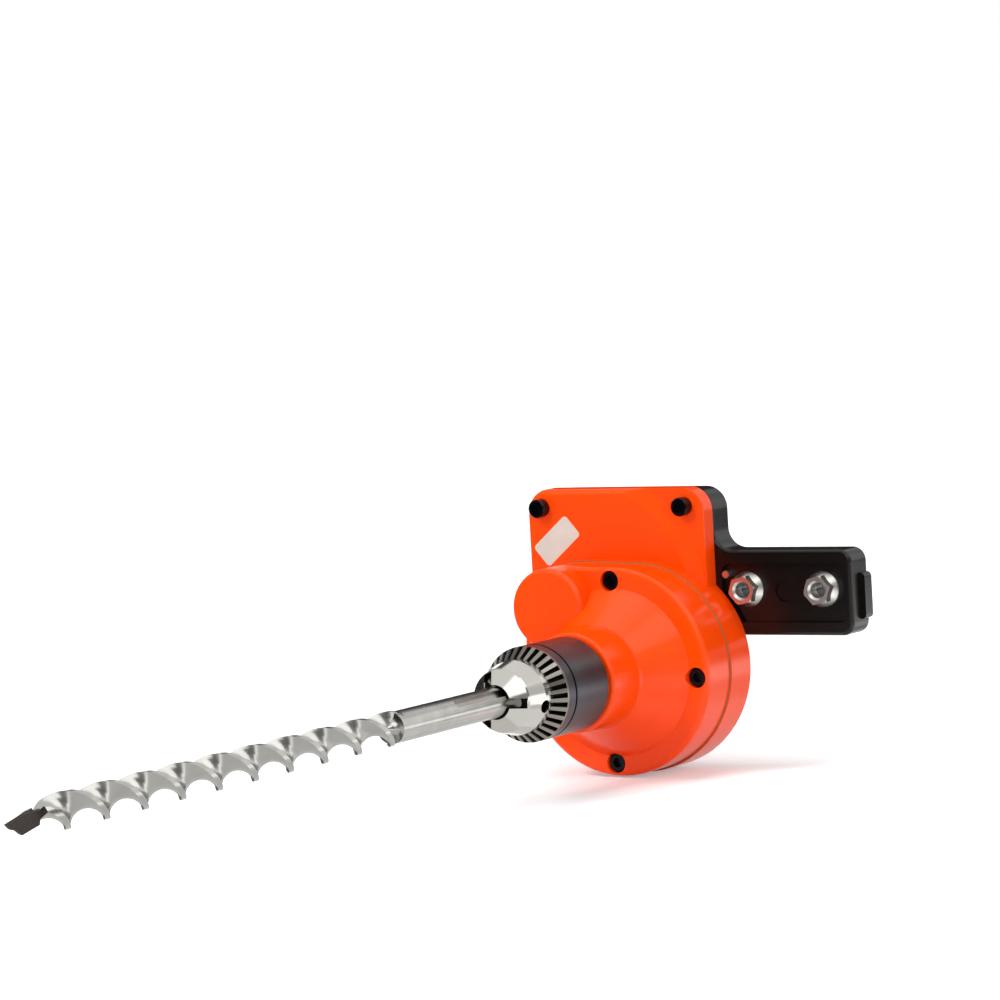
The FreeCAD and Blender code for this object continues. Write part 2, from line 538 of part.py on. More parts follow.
def adapter_housing():
    """Black casting: block round the saw's clutch, and the tab that the saw's studs pass."""
    item = new_body("adapter_housing")
    left, right = "axis_x - plate_left", "axis_x + plate_right - adapter_step"
    low, high = "axis_z - adapter_bottom", "axis_z + adapter_top"
    block = face_sketch(item, ADAPTER_FRONT)
    outline(block, [(left, low), (right, low), (right, "-tab_low"), ("tab_end", "-tab_low"),
                    ("tab_end", "tab_top"), (right, "tab_top"), (right, high), (left, high)])
    pad_back(item, block, "adapter_thick")
    sides = [(value(x), value(z)) for x, z in
             ((left, low), (right, low), (right, high), (left, high))]
    round_edges(item, "adapter_corner", lambda e: any(upright(e, x, z) for x, z in sides))
    inner = [(value(right), value("tab_top")), (value(right), -value("tab_low"))]
    round_edges(item, "tab_fillet", lambda e: any(upright(e, x, z) for x, z in inner))
    ends = [(value("tab_end"), value("tab_top")), (value("tab_end"), -value("tab_low"))]
    round_edges(item, "tab_corner", lambda e: any(upright(e, x, z) for x, z in ends))
    front = -value("adapter_thick")
    step = value(right)
    round_edges(item, "tab_round", lambda e: lies_at(e, front) and e.CenterOfMass.x > step)
    pan = face_sketch(item, ADAPTER_FRONT)
    box_outline(pan, "%s + pan_start" % right, "tab_end - pan_end", "pan_rim - tab_low",
                "tab_top - pan_rim")
    cut_back(item, pan, "pan_deep")
    floor = front + value("pan_deep")
    wall_x = [value("%s + pan_start" % right), value("tab_end - pan_end")]
    wall_z = [value("pan_rim - tab_low"), value("tab_top - pan_rim")]
    round_edges(item, "pan_corner", lambda e: any(upright(e, x, z) for x in wall_x for z in wall_z)
                and e.BoundBox.YMax < floor + 0.1)
    studs = face_sketch(item, ADAPTER_FRONT)
    for side in ("-stud_spacing / 2", "stud_spacing / 2"):
        circle(studs, "stud_hole_r", side, "0")
    cut_back(item, studs, "adapter_thick")
    dimple = face_sketch(item, ADAPTER_FRONT + " + pan_deep")
    circle(dimple, "dimple_r", "dimple_x", "dimple_z")
    cut_back(item, dimple, "dimple_deep")
    lug = face_sketch(item, "0")
    box_outline(lug, "tab_end - lug_root", "tab_end + lug_out", "-lug_low", "lug_top")
    pad_forward(item, lug, "lug_deep")
    lug_x = value("tab_end + lug_out")
    lug_z = (-value("lug_low"), value("lug_top"))
    round_edges(item, "0.9 * lug_out", lambda e: any(upright(e, lug_x, z) for z in lug_z))
    clutch_x, clutch_z = "axis_x + " + INPUT_X, "axis_z + " + INPUT_Z
    clutch = face_sketch(item, "0")
    circle(clutch, "clutch_r", clutch_x, clutch_z)
    cut_forward(item, clutch, "clutch_deep")
    hub = face_sketch(item, "0")
    circle(hub, SEAL_SEAT, clutch_x, clutch_z)
    cut_forward(item, hub, "adapter_thick")
    lighten = face_sketch(item, "0")
    flange_left, flange_right = "axis_x + flange_left_x", "axis_x + flange_right_x"
    clutch_top = clutch_z + " + clutch_r + casting_rib"
    clutch_side = clutch_x + " + clutch_r + casting_rib"
    boss = "screw_r + casting_rib"
    middle = "(%s + %s) / 2" % (flange_left, flange_right)
    box_outline(lighten, "%s + %s" % (flange_left, boss), "%s - casting_rib / 2" % middle,
                clutch_top, "%s - casting_rib" % high)
    box_outline(lighten, "%s + casting_rib / 2" % middle, "%s - %s" % (flange_right, boss),
                clutch_top, "%s - casting_rib" % high)
    box_outline(lighten, clutch_side, "%s - casting_rib" % right,
                "axis_z + rear_screw_z + head_r + casting_rib", "%s - casting_rib" % clutch_top)
    cut_forward(item, lighten, "pocket_deep")
    threads = face_sketch(item, ADAPTER_FRONT)
    for x, z in FLANGE_PLACES:
        circle(threads, "screw_r + bearing_fit", "axis_x + " + x, "axis_z + " + z)
    cut_back(item, threads, "flange_screw_long - plate_thick + 1")
    rear_x, rear_z = "axis_x + rear_screw_x", "axis_z + rear_screw_z"
    rear_head = face_sketch(item, "0")
    circle(rear_head, HEAD_HOLE, rear_x, rear_z)
    cut_forward(item, rear_head, "rear_screw_sink")
    rear_shank = face_sketch(item, "0")
    circle(rear_shank, SHANK_HOLE, rear_x, rear_z)
    cut_forward(item, rear_shank, "adapter_thick")
    pin_hole = face_sketch(item, "0")
    circle(pin_hole, "pin_r", "pin_x", "pin_z")
    cut_forward(item, pin_hole, "adapter_thick")


def locating_pin():
    """Steel pin pressed through the adapter, which finds a hole in the saw's face."""
    item = new_body("locating_pin")
    section = face_sketch(item, ADAPTER_FRONT + " - pin_proud")
    circle(section, "pin_r", "pin_x", "pin_z")
    pad_back(item, section, "adapter_thick + pin_proud + pin_rear")
    tip = value("pin_rear")
    round_edges(item, "pin_r / 4", lambda edge: lies_at(edge, tip), "Chamfer")


def case_screws():
    """Four socket screws that close the case, with their heads sunk in the cover."""
    seat = value("case_screw_sink")
    screw = socket_screw(seat, value("case_screw_long"), 1)
    group = []
    for angle in CASE_SCREW_ANGLES:
        copy = screw.copy()
        copy.translate(polar(value("case_screw_circle"), value(angle)))
        group.append(copy)
    shape_part("case_screws", Part.makeCompound(group), on_drill_axis)


def flange_screws():
    """Four socket screws between case and adapter: three from the front, one from the back."""
    group = []
    long = value("flange_screw_long")
    for x, z in FLANGE_PLACES:
        screw = socket_screw(value(flange_seat(x, z)), long, 1)
        screw.translate(Vector(value(x), 0, value(z)))
        group.append(screw)
    back = socket_screw(value(SHELL_REAR + " + adapter_thick - rear_screw_sink"), long, -1)
    back.translate(Vector(value("rear_screw_x"), 0, value("rear_screw_z")))
    group.append(back)
    shape_part("flange_screws", Part.makeCompound(group), on_drill_axis)


def bar_nuts():
    """Two flanged hexagon nuts for the saw's studs, seated on the floor of the tab's pan."""
    floor = value("pan_deep - adapter_thick")
    high, flange_high = value("nut_high"), value("nut_flange_high")
    flange_r, flats = value("nut_flange_r"), value("nut_flats")
    corner = flats / math.sqrt(3)
    turn = value("nut_turn")
    hexagon = [polar(corner, 60 * i + turn) + Vector(0, floor, 0) for i in range(7)]
    nut = Part.Face(Part.makePolygon(hexagon)).extrude(Vector(0, -high, 0))
    bevel = value("nut_bevel")
    rounding = Part.makeCone(corner + high - bevel, corner - bevel, high, Vector(0, floor, 0),
                             Vector(0, -1, 0))
    nut = nut.common(rounding)
    skirt = Part.makeCone(flange_r, flats / 2, 2 * flange_high,
                          Vector(0, floor - flange_high / 2, 0), Vector(0, -1, 0))
    nut = nut.fuse([skirt, rod(flange_r, floor - flange_high / 2, floor)])
    bore, mouth = value("nut_bore_r"), value("nut_mouth_r")
    sink = Part.makeCone(mouth, bore, mouth - bore, Vector(0, floor - high, 0), Vector(0, 1, 0))
    nut = nut.cut([sink, rod(bore, floor - 2 * high, floor + 1)])
    group = []
    for side in (-1, 1):
        copy = nut.copy()
        copy.translate(Vector(side * value("stud_spacing") / 2, 0, 0))
        group.append(copy)
    shape_part("bar_nuts", Part.makeCompound(group))


def ring_profile(inner, outer, start, end):
    return [(inner, start), (outer, start), (outer, end), (inner, end)]


def bearing_sizes(size):
    """The ring walls of a bearing size, as expressions: outer ring's bore, inner ring's outside."""
    wall = "(%s_out - %s_bore) * ring_share" % (size, size)
    return "%s_out - %s" % (size, wall), "%s_bore + %s" % (size, wall)


def bearing_rings(label, size, middles, where, inner):
    """The inner rings, or the outer rings with their two shields, of the bearings of one size."""
    raceway, land = bearing_sizes(size)
    start = "-%s_wide / 2" % size
    end = "%s_wide / 2" % size
    profile = ring_profile("%s_bore + bearing_fit" % size, land, start, end)
    if not inner:
        rim = land + " + shield_gap"
        profile = [("%s_out" % size, start), ("%s_out" % size, end), (rim, end),
                   (rim, end + " - shield_thick"), (raceway, end + " - shield_thick"),
                   (raceway, start + " + shield_thick"), (rim, start + " + shield_thick"),
                   (rim, start)]
    points = [Vector(value(r), value(y), 0) for r, y in profile]
    ring = Part.Face(Part.makePolygon(points + points[:1])).revolve(
        Vector(0, 0, 0), Vector(0, 1, 0), 360)
    group = []
    for x, y, z in middles:
        copy = ring.copy()
        copy.translate(Vector(value(x), value(y), value(z)))
        group.append(copy)
    shape_part(label, group[0] if len(group) == 1 else Part.makeCompound(group), where)


def seal(label, outer, shaft, start, where):
    """A rubber shaft seal: outer case, thin web and a lip that meets the shaft."""
    item = new_body(label, where)
    end = "%s + seal_wide" % start
    lip = "%s + seal_lip" % shaft
    turned(item, [(lip, start), (outer, start), (outer, end), ("%s - 2" % outer, end),
                  ("%s - 2" % outer, "%s + 2" % start), ("%s + 1.5" % lip, "%s + 2" % start),
                  ("%s + 1.5" % lip, end + " - 1"), (lip, end + " - 1")])


def output_spindle():
    """Stepped shaft: chuck nose, two bearing seats, thrust collar, gear seat and rear seat."""
    item = new_body("output_spindle", on_drill_axis)
    collar = SECOND_BEARING + " + big_wide / 2"
    gear_end = "gear_face + gear_width"
    rear = REAR_BEARING + " + mid_wide / 2"
    turned(item, [("0", CHUCK_REAR + " - nose_long"), ("spindle_nose_r", CHUCK_REAR + " - nose_long"),
                  ("spindle_nose_r", CHUCK_REAR), ("big_bore", CHUCK_REAR), ("big_bore", collar),
                  ("thrust_r", collar), ("thrust_r", "gear_face"), ("gear_bore", "gear_face"),
                  ("gear_bore", "%s + circlip_wide + end_gap" % gear_end),
                  ("mid_bore", "%s + circlip_wide + end_gap" % gear_end), ("mid_bore", rear),
                  ("0", rear)])
    turned(item, [("gear_bore - circlip_sink", gear_end), ("gear_bore + end_gap", gear_end),
                  ("gear_bore + end_gap", "%s + circlip_wide" % gear_end),
                  ("gear_bore - circlip_sink", "%s + circlip_wide" % gear_end)], "Groove")
    keyway = sketch_on(item, "XY_Plane", "gear_bore - key_high")
    box_outline(keyway, "-key_wide / 2", "key_wide / 2", "gear_face", gear_end)
    feature(item, "Pocket", keyway, Length="key_high + 1", Reversed=True)
    hole = face_sketch(item, CHUCK_REAR + " - nose_long")
    circle(hole, "chuck_screw_r + bearing_fit")
    cut_back(item, hole, "nose_long - 2")


def gear_key():
    """Square key between the spindle and the gear."""
    item = new_body("gear_key", on_drill_axis)
    base = sketch_on(item, "XY_Plane", "gear_bore - key_high")
    box_outline(base, "bearing_fit - key_wide / 2", "key_wide / 2 - bearing_fit", "gear_face",
                "gear_face + gear_width")
    feature(item, "Pad", base, Length="2 * key_high - bearing_fit")


def output_gear():
    """Large spur gear with a lightened web on both faces, a hub and a keyway."""
    start, width = value("gear_face"), value("gear_width")
    end = start + width
    gap = 90 / value("gear_teeth") * 2
    gear = gear_blank(int(value("gear_teeth")), value("input_angle") + gap, start, width)
    deep = value("web_deep")
    web = rod(value("web_r"), start, start + deep).cut(rod(value("gear_hub_r"), start, start + deep))
    far_web = web.copy()
    far_web.translate(Vector(0, width - deep, 0))
    half = value("key_wide") / 2
    keyway = Part.makeBox(2 * half, width, value("gear_bore + key_high"), Vector(-half, start, 0))
    gear = gear.cut([web, far_web, rod(value("gear_bore + bearing_fit"), start, end), keyway])
    shape_part("output_gear", gear, on_drill_axis)


def circlip(label, seat_r, start, where):
    """A retaining ring in its groove, with the gap that lets it spring open."""
    thick = value("circlip_wide") - value("bearing_fit")
    inner = seat_r - value("circlip_sink") + value("bearing_fit")
    outer = seat_r + value("circlip_r")
    ring = rod(outer, start, start + thick).cut(rod(inner, start, start + thick))
    gap = Part.makeBox(seat_r / 2, thick, 2 * outer, Vector(-seat_r / 4, start, -2 * outer))
    eye, hole = value("circlip_eye_r"), value("circlip_hole_r")
    places = [(side * (seat_r / 4 + eye), eye * 2 / 3 - outer) for side in (-1, 1)]
    eyes = [rod(eye, start, start + thick, x, z) for x, z in places]
    holes = [rod(hole, start, start + thick, x, z) for x, z in places]
    clip = ring.cut(gap).fuse(eyes).cut([rod(inner, start, start + thick)] + holes)
    shape_part(label, clip, where)


def input_shaft():
    """Pinion cut on its own shaft, with the front and rear bearing seats and a coupling seat."""
    teeth = int(value("pinion_teeth"))
    start, width = value("gear_face"), value("gear_width")
    pinion = gear_blank(teeth, value("input_angle") + 180, start, width)
    front = value(INPUT_FRONT_BEARING) - value("small_wide") / 2
    rear_seat = value(INPUT_REAR_BEARING) - value("mid_wide") / 2
    end = value(COUPLING_START + " + coupling_long - socket_deep - 1")
    front_end = value(INPUT_FRONT_BEARING) + value("small_wide") / 2
    shaft = pinion.fuse([rod(value("small_bore"), front, start),
                         rod(value("small_bore") + 1.5, front_end, start),
                         rod(value("mid_bore"), rear_seat, end),
                         rod(value("mid_bore") + 1.2, start + width, rear_seat)])
    half = value("coupling_key") / 2
    flat = Part.makeBox(2 * half, end, half, Vector(-half, value(COUPLING_START), value("mid_bore") - half))
    shape_part("input_shaft", shaft.cut(flat).removeSplitter(), on_input_axis)


def coupling_key():
    """Small key that turns the coupling with the input shaft."""
    half = value("coupling_key") / 2
    start = value(COUPLING_START)
    long = value("coupling_long - socket_deep - 1")
    key = Part.makeBox(2 * half, long, 2 * half - value("bearing_fit"),
                       Vector(-half, start, value("mid_bore") - half))
    shape_part("coupling_key", key, on_input_axis)


def drive_coupling():
    """Round hub with a lobed socket that slips over the saw's drive sprocket."""
    start, long = value(COUPLING_START), value("coupling_long")
    outer = value("coupling_r")
    hub = rod(outer, start, start + long)
    rim = [edge for edge in hub.Edges if lies_at(edge, start) or lies_at(edge, start + long)]
    hub = hub.makeChamfer(1.0, rim)
    lobes = int(value("socket_lobes"))
    steps = 6 * lobes
    wave = [polar(value("socket_r") + value("socket_wave") * math.cos(2 * math.pi * i / 6),
                  360 * i / steps) + Vector(0, start + long, 0) for i in range(steps)]
    curve = Part.BSplineCurve()
    curve.interpolate(wave, PeriodicFlag=True)
    socket = Part.Face(Part.Wire(curve.toShape())).extrude(Vector(0, -value("socket_deep"), 0))
    half = value("coupling_key") / 2 + value("bearing_fit")
    keyway = Part.makeBox(2 * half, long, half + value("mid_bore"), Vector(-half, start, 0))
    bore = rod(value("mid_bore + bearing_fit"), start, start + long)
    shape_part("drive_coupling", hub.cut([socket, keyway, bore]), on_input_axis)


def revolved(profile):
    """A solid turned about the Y axis from (radius, y) pairs of numbers."""
    points = [Vector(radius, y, 0) for radius, y in profile]
    return Part.Face(Part.makePolygon(points + points[:1])).revolve(
        Vector(0, 0, 0), Vector(0, 1, 0), 360)


def jaw_axis():
    """Front point and direction of the slanted line that a jaw on the +X side slides along."""
    slope = math.atan(value(JAW_RISE))
    return Vector(value("jaw_front_r"), value(JAW_FRONT), 0), Vector(math.sin(slope), math.cos(slope), 0)


def jaw_slot():
    """The slot in the nose's cone that leads from the mouth to the front of a jaw."""
    front, half = value(NOSE_FRONT), value("jaw_slot_wide") / 2
    outer, inner = value("jaw_slot_r"), value("jaw_slot_in")
    jaw_front = value(JAW_FRONT)
    floor = value(NOSE_FRONT + " + nose_cone") + value("jaw_slot_deep") / 2
    points = [Vector(0, front - half, -half), Vector(outer, front - half, -half),
              Vector(outer, floor, -half), Vector(inner, jaw_front, -half), Vector(0, jaw_front, -half)]
    return Part.Face(Part.makePolygon(points + points[:1])).extrude(Vector(0, 0, 2 * half))


def chuck_body():
    """Chuck's core and polished nose: bit bore, three slanted jaw holes, three key holes."""
    front, rear = value(NOSE_FRONT), value(CHUCK_REAR)
    ring_front = value(RING_FRONT + " - run_fit")
    body_r, nose_r, edge_r = value(BODY_R), value(NOSE_R), value(NOSE_EDGE_R)
    edge = front + value("nose_cone")
    bevel = value("nose_bevel")
    mouth_r = value("mouth_r")
    core = revolved([(0, rear), (body_r, rear), (body_r, ring_front), (nose_r, ring_front),
                     (nose_r, ring_front - value("nose_band")), (edge_r, edge + bevel),
                     (edge_r - bevel, edge - bevel), (mouth_r, front), (0, front)])
    bore_end = value(SHANK_REAR + " + bore_spare")
    head_room = value(CHUCK_REAR + " - nose_long")
    cuts = [rod(value("chuck_bore"), front, bore_end),
            Part.makeCone(mouth_r, value("chuck_bore"), value("mouth_deep"), Vector(0, front, 0),
                          Vector(0, 1, 0)),
            rod(value("chuck_screw_r + shank_clear"), bore_end, head_room),
            rod(value("spindle_nose_r + bearing_fit"), head_room, rear)]
    start, along = jaw_axis()
    jaw_hole = Part.makeCylinder(value("jaw_r + bearing_fit"), value("jaw_hole_long"),
                                 start - along * value("jaw_spare"), along)
    cuts += [about_y(jaw_hole, value("jaw_angle") + 120 * i) for i in range(3)]
    cuts += [about_y(jaw_slot(), value("jaw_angle") + 120 * i) for i in range(3)]
    key_y = value(RING_FRONT + " - key_hole_back")
    deep = value("key_hole_deep")
    key_hole = Part.makeCylinder(value("key_hole_r"), 2 * deep, Vector(nose_r - deep, key_y, 0),
                                 Vector(1, 0, 0))
    cuts += [about_y(key_hole, value("key_hole_angle") + 120 * i) for i in range(3)]
    shape_part("chuck_body", core.cut(cuts), on_drill_axis)


def chuck_screw():
    """Screw inside the chuck that locks it on the spindle's nose."""
    item = new_body("chuck_screw", on_drill_axis)
    head_y = SHANK_REAR + " + bore_spare"
    top = head_y + " - chuck_screw_high"
    end = CHUCK_REAR + " - nose_long + chuck_screw_bite"
    turned(item, [("0", top), ("chuck_screw_head", top), ("chuck_screw_head", head_y),
                  ("chuck_screw_r", head_y), ("chuck_screw_r", end), ("0", end)])


def jaws():
    """Three round jaws in the slanted holes, hollowed at the tip to hold the shank."""
    start, along = jaw_axis()
    front = start.y
    grip = rod(value("shank_r + grip_gap"), front - value("jaw_long"), value(CHUCK_REAR))
    jaw = Part.makeCylinder(value("jaw_r"), value("jaw_long"), start - along * value("jaw_r"), along)
    jaw = jaw.cut([grip, rod(value("collar_r"), front - value("jaw_long"), front)])
    for index, name in enumerate(("jaw_a", "jaw_b", "jaw_c")):
        shape_part(name, about_y(jaw, value("jaw_angle") + 120 * index), on_drill_axis)


def chuck_collar():
    """Dark sleeve behind the toothed ring, with a groove near its front and a rear lip."""
    item = new_body("chuck_collar", on_drill_axis)
    wall_r = "collar_r - collar_wall"
    groove_r = "collar_r - collar_groove"
    groove_back = RING_REAR + " + collar_groove_back"
    turned(item, [(SLEEVE_BORE, CHUCK_REAR), ("collar_r - collar_round", CHUCK_REAR),
                  ("collar_r", CHUCK_REAR + " - collar_round"),
                  ("collar_r", groove_back + " + collar_groove_wide"),
                  (groove_r, groove_back + " + collar_groove_wide"), (groove_r, groove_back),
                  ("collar_r", groove_back), ("collar_r", RING_REAR), (wall_r, RING_REAR),
                  (wall_r, CHUCK_REAR + " - collar_lip"), (SLEEVE_BORE, CHUCK_REAR + " - collar_lip")])


def tooth_space(share):
    """The tapered room between two teeth, from the ring's rear rim to its front edge."""
    rim, front = value(RING_REAR + " - ring_rim"), value(RING_FRONT)
    outer, small = value("collar_r"), value(RING_FRONT_R)
    deep, flare = value("tooth_deep"), value("tooth_flare")
    face = Vector(small - outer, front - rim, 0).normalize()
    inward = Vector(face.y, -face.x, 0)
    ends = []
    for radius, y, beyond in ((outer, rim, 0), (small, front, value("tooth_run"))):
        half = share * radius
        middle = Vector(radius, y, 0) + face * beyond
        top = middle - inward * (deep / 3)
        bottom = middle + inward * deep
        wide, low = Vector(0, 0, half * flare), Vector(0, 0, half * value("tooth_root_share"))
        corners = [top - wide, top + wide, bottom + low, bottom - low]
        ends.append(Part.makePolygon(corners + corners[:1]))
    return Part.makeLoft(ends, True, True)


def chuck_ring():
    """Toothed ring that the chuck key turns: bevel teeth from the rear rim to the front edge."""
    rear, front = value(RING_REAR), value(RING_FRONT)
    bore = value(SLEEVE_BORE)
    ring = revolved([(bore, rear), (value("collar_r"), rear), (value("collar_r"), rear - value("ring_rim")),
                     (value(RING_FRONT_R), front), (bore, front)])
    count = int(value("ring_teeth"))
    space = tooth_space(value("tooth_share") * 2 * math.pi / count)
    spaces = [about_y(space, 360 * i / count) for i in range(count)]
    shape_part("chuck_ring", ring.cut(spaces), on_drill_axis)


def jaw_nut():
    """Ring inside the sleeve that moves the jaws along their holes."""
    item = new_body("jaw_nut", on_drill_axis)
    front = RING_REAR + " + nut_back - nut_wide"
    back = RING_REAR + " + nut_back"
    reach = "jaw_front_r + jaw_r * sqrt(1 + (%s) ^ 2) + run_fit + nut_clear" % JAW_RISE
    inner_back = "%s + (%s - (%s)) * %s" % (reach, back, JAW_FRONT, JAW_RISE)
    inner_front = "%s + (%s - (%s)) * %s" % (reach, front, JAW_FRONT, JAW_RISE)
    wall_r = "collar_r - collar_wall"
    turned(item, [(inner_front, front), (wall_r, front), (wall_r, back), (inner_back, back)])


def twisted_bar():
    """The two flutes: a thick strip with rounded lands, swept along a helix down the axis."""
    radius, core, land = value("flute_r"), value("core_half"), value("land_half")
    long, lead = value("flute_long + runout"), value("lead")
    top = math.sqrt(radius ** 2 - land ** 2)
    corners = [Vector(land, top, 0), Vector(-land, top, 0), Vector(-land, -top, 0), Vector(land, -top, 0)]
    section = Part.Wire([
        Part.Arc(corners[0], Vector(0, radius, 0), corners[1]).toShape(),
        Part.Arc(corners[1], Vector(-core, 0, 0), corners[2]).toShape(),
        Part.Arc(corners[2], Vector(0, -radius, 0), corners[3]).toShape(),
        Part.Arc(corners[3], Vector(core, 0, 0), corners[0]).toShape()])
    spine = Part.Wire(Part.makeLine(Vector(0, 0, 0), Vector(0, 0, long)))
    helix = Part.makeHelix(lead, long, radius)
    sweep = Part.BRepOffsetAPI.MakePipeShell(spine)
    sweep.setAuxiliarySpine(Part.Wire(helix.Edges), True, 0)
    sweep.add(section, False, False)
    sweep.build()
    sweep.makeSolid()
    bar = sweep.shape()
    bar.rotate(Vector(0, 0, 0), Vector(1, 0, 0), 90)
    bar.rotate(Vector(0, 0, 0), Vector(0, 1, 0), 90 - value("flute_angle") + 360 * long / lead)
    bar.translate(Vector(0, value(FLUTE_START + " + runout"), 0))
    return bar


def runout():
    """The hollow-ground neck between the shank and the flutes."""
    start, run = value(FLUTE_START), value("runout")
    radius, core = value("shank_r"), value("core_half")
    corners = [Vector(0, start + run, 0), Vector(radius, start + run, 0), Vector(radius, start, 0),
               Vector(core, start - run, 0), Vector(0, start - run, 0)]
    hollow = Vector(core + (radius - core) / 4, start - run / 4, 0)
    rim = Part.makePolygon(corners[:3]).Edges
    rim += [Part.Arc(corners[2], hollow, corners[3]).toShape()]
    rim += Part.makePolygon(corners[3:] + corners[:1]).Edges
    return Part.Face(Part.Wire(rim)).revolve(Vector(0, 0, 0), Vector(0, 1, 0), 360)


def drive_slot():
    """A round-ended groove along the shank, open at its rear."""
    front = value(FLUTE_START + " + slot_front")
    wide, deep, radius = value("slot_wide"), value("slot_deep"), value("shank_r")
    back = value(SHANK_REAR) + wide
    slot = Part.makeBox(radius, back - front, wide, Vector(radius - deep, front, -wide / 2))
    end = Part.makeCylinder(wide / 2, radius, Vector(radius - deep, front, 0), Vector(1, 0, 0))
    return slot.fuse(end)


def end_taper():
    """What grinding takes off the flutes' end, outside a cone that narrows to the tip."""
    end, long = value(FLUTE_END), value("taper_long")
    outer, small = value("flute_r"), value("taper_r")
    grow = (outer - small) / long
    return revolved([(small - grow, end - 1), (2 * outer, end - 1), (2 * outer, end + long + 1),
                     (outer + grow, end + long + 1)])


def auger_bit():
    """Round shank with grooves for the drive, running out into two helical flutes."""
    rear = value(SHANK_REAR)
    shank = rod(value("shank_r"), value(FLUTE_START + " + runout"), rear)
    shank = shank.makeChamfer(value("shank_bevel"), [edge for edge in shank.Edges if lies_at(edge, rear)])
    slots = [about_y(drive_slot(), value("slot_angle") + 180 * i) for i in range(2)]
    bit = twisted_bar().fuse([shank.fuse(runout())]).cut(slots)
    bit = bit.cut(end_taper()).cut(tip_seat())
    shape_part("auger_bit", bit, on_drill_axis)


def tip_seat():
    """The room that grinding opens in front of the flat that carries the cutting plate."""
    end, back = value(FLUTE_END) - 1, value(FLUTE_END + " + tip_seat + tip_fit")
    reach = 2 * value("flute_r")
    flat = value("tip_set + tip_fit")
    room = Part.makeBox(2 * reach, back - end, reach + flat, Vector(-reach, end, -reach))
    return about_y(room, value("tip_angle"))


def tip_blade():
    """Plate with a centre point, and beside it a notch and a wing that cuts the hole's wall."""
    tip, back = value(FLUTE_END + " - tip_long"), value(FLUTE_END + " + tip_seat")
    wing, tongue = tip + value("tip_wing"), value("tip_tongue_half")
    rim = [(0, tip), (value("tip_back_half"), wing), (tongue, back), (-tongue, back),
           (-value("tip_wing_half"), wing), (-value("tip_notch_half"), tip + value("tip_notch")),
           (-value("tip_spur_half"), tip + value("tip_spur")), (0, tip)]
    thick = value("tip_thick")
    plate = Part.Face(Part.makePolygon([Vector(x, y, 0) for x, y in rim]))
    plate = plate.extrude(Vector(0, 0, thick))
    plate.translate(Vector(0, 0, value("tip_set") - thick))
    return about_y(plate, value("tip_angle"))


def bit_tip():
    """Hard metal cutting plate brazed on the flat at the end of the bit."""
    shape_part("bit_tip", tip_blade(), on_drill_axis)


def gear_train():
    """Bearings, seals, shafts and gears between the saw's sprocket and the chuck."""
    output = [("0", FRONT_BEARING, "0"), ("0", SECOND_BEARING, "0")]
    rear = [("0", REAR_BEARING, "0")]
    input_rear = [(INPUT_X, INPUT_REAR_BEARING, INPUT_Z)]
    input_front = [("0", INPUT_FRONT_BEARING, "0")]
    bearing_rings("output_bearing_outer_rings", "big", output, on_drill_axis, False)
    bearing_rings("output_bearing_inner_rings", "big", output, on_drill_axis, True)
    bearing_rings("rear_bearing_outer_rings", "mid", rear + input_rear, on_drill_axis, False)
    bearing_rings("spindle_rear_inner_ring", "mid", rear, on_drill_axis, True)
    bearing_rings("input_rear_inner_ring", "mid", [("0", INPUT_REAR_BEARING, "0")], on_input_axis, True)
    bearing_rings("input_front_outer_ring", "small", input_front, on_input_axis, False)
    bearing_rings("input_front_inner_ring", "small", input_front, on_input_axis, True)
    seal("output_seal", "big_out", "big_bore", "-boss_length + seal_sink", on_drill_axis)
    seal("input_seal", SEAL_SEAT, "mid_bore", SHELL_REAR + " - seal_wide - seal_sink", on_input_axis)
    output_spindle()
    gear_key()
    output_gear()
    circlip("spindle_circlip", value("gear_bore"), value("gear_face + gear_width"), on_drill_axis)
    input_shaft()
    coupling_key()
    drive_coupling()


def check_all():
    """Stops the build if any object failed or any sub-part isn't a valid solid."""
    doc.recompute()
    for item in doc.Objects:
        assert not {"Invalid", "Error"} & set(item.State), item.Label + " failed"
    for item in made:
        assert not item.Shape.isNull() and item.Shape.isValid(), item.Label + " is not valid"
        assert item.Shape.Solids, item.Label + " has no solid"


def export_all():
    os.makedirs("parts", exist_ok=True)
    for item in made:
        item.Shape.exportStep("parts/%s.step" % item.Label)


front_gear_case()
case_gasket()
rear_gear_case()
adapter_housing()
locating_pin()
case_screws()
flange_screws()
bar_nuts()
gear_train()
chuck_body()
chuck_screw()
jaws()
chuck_collar()
chuck_ring()
jaw_nut()
auger_bit()
bit_tip()
check_all()
export_all()
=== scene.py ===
import json
import math
import bpy
import numpy as np
from mathutils import Matrix, Vector


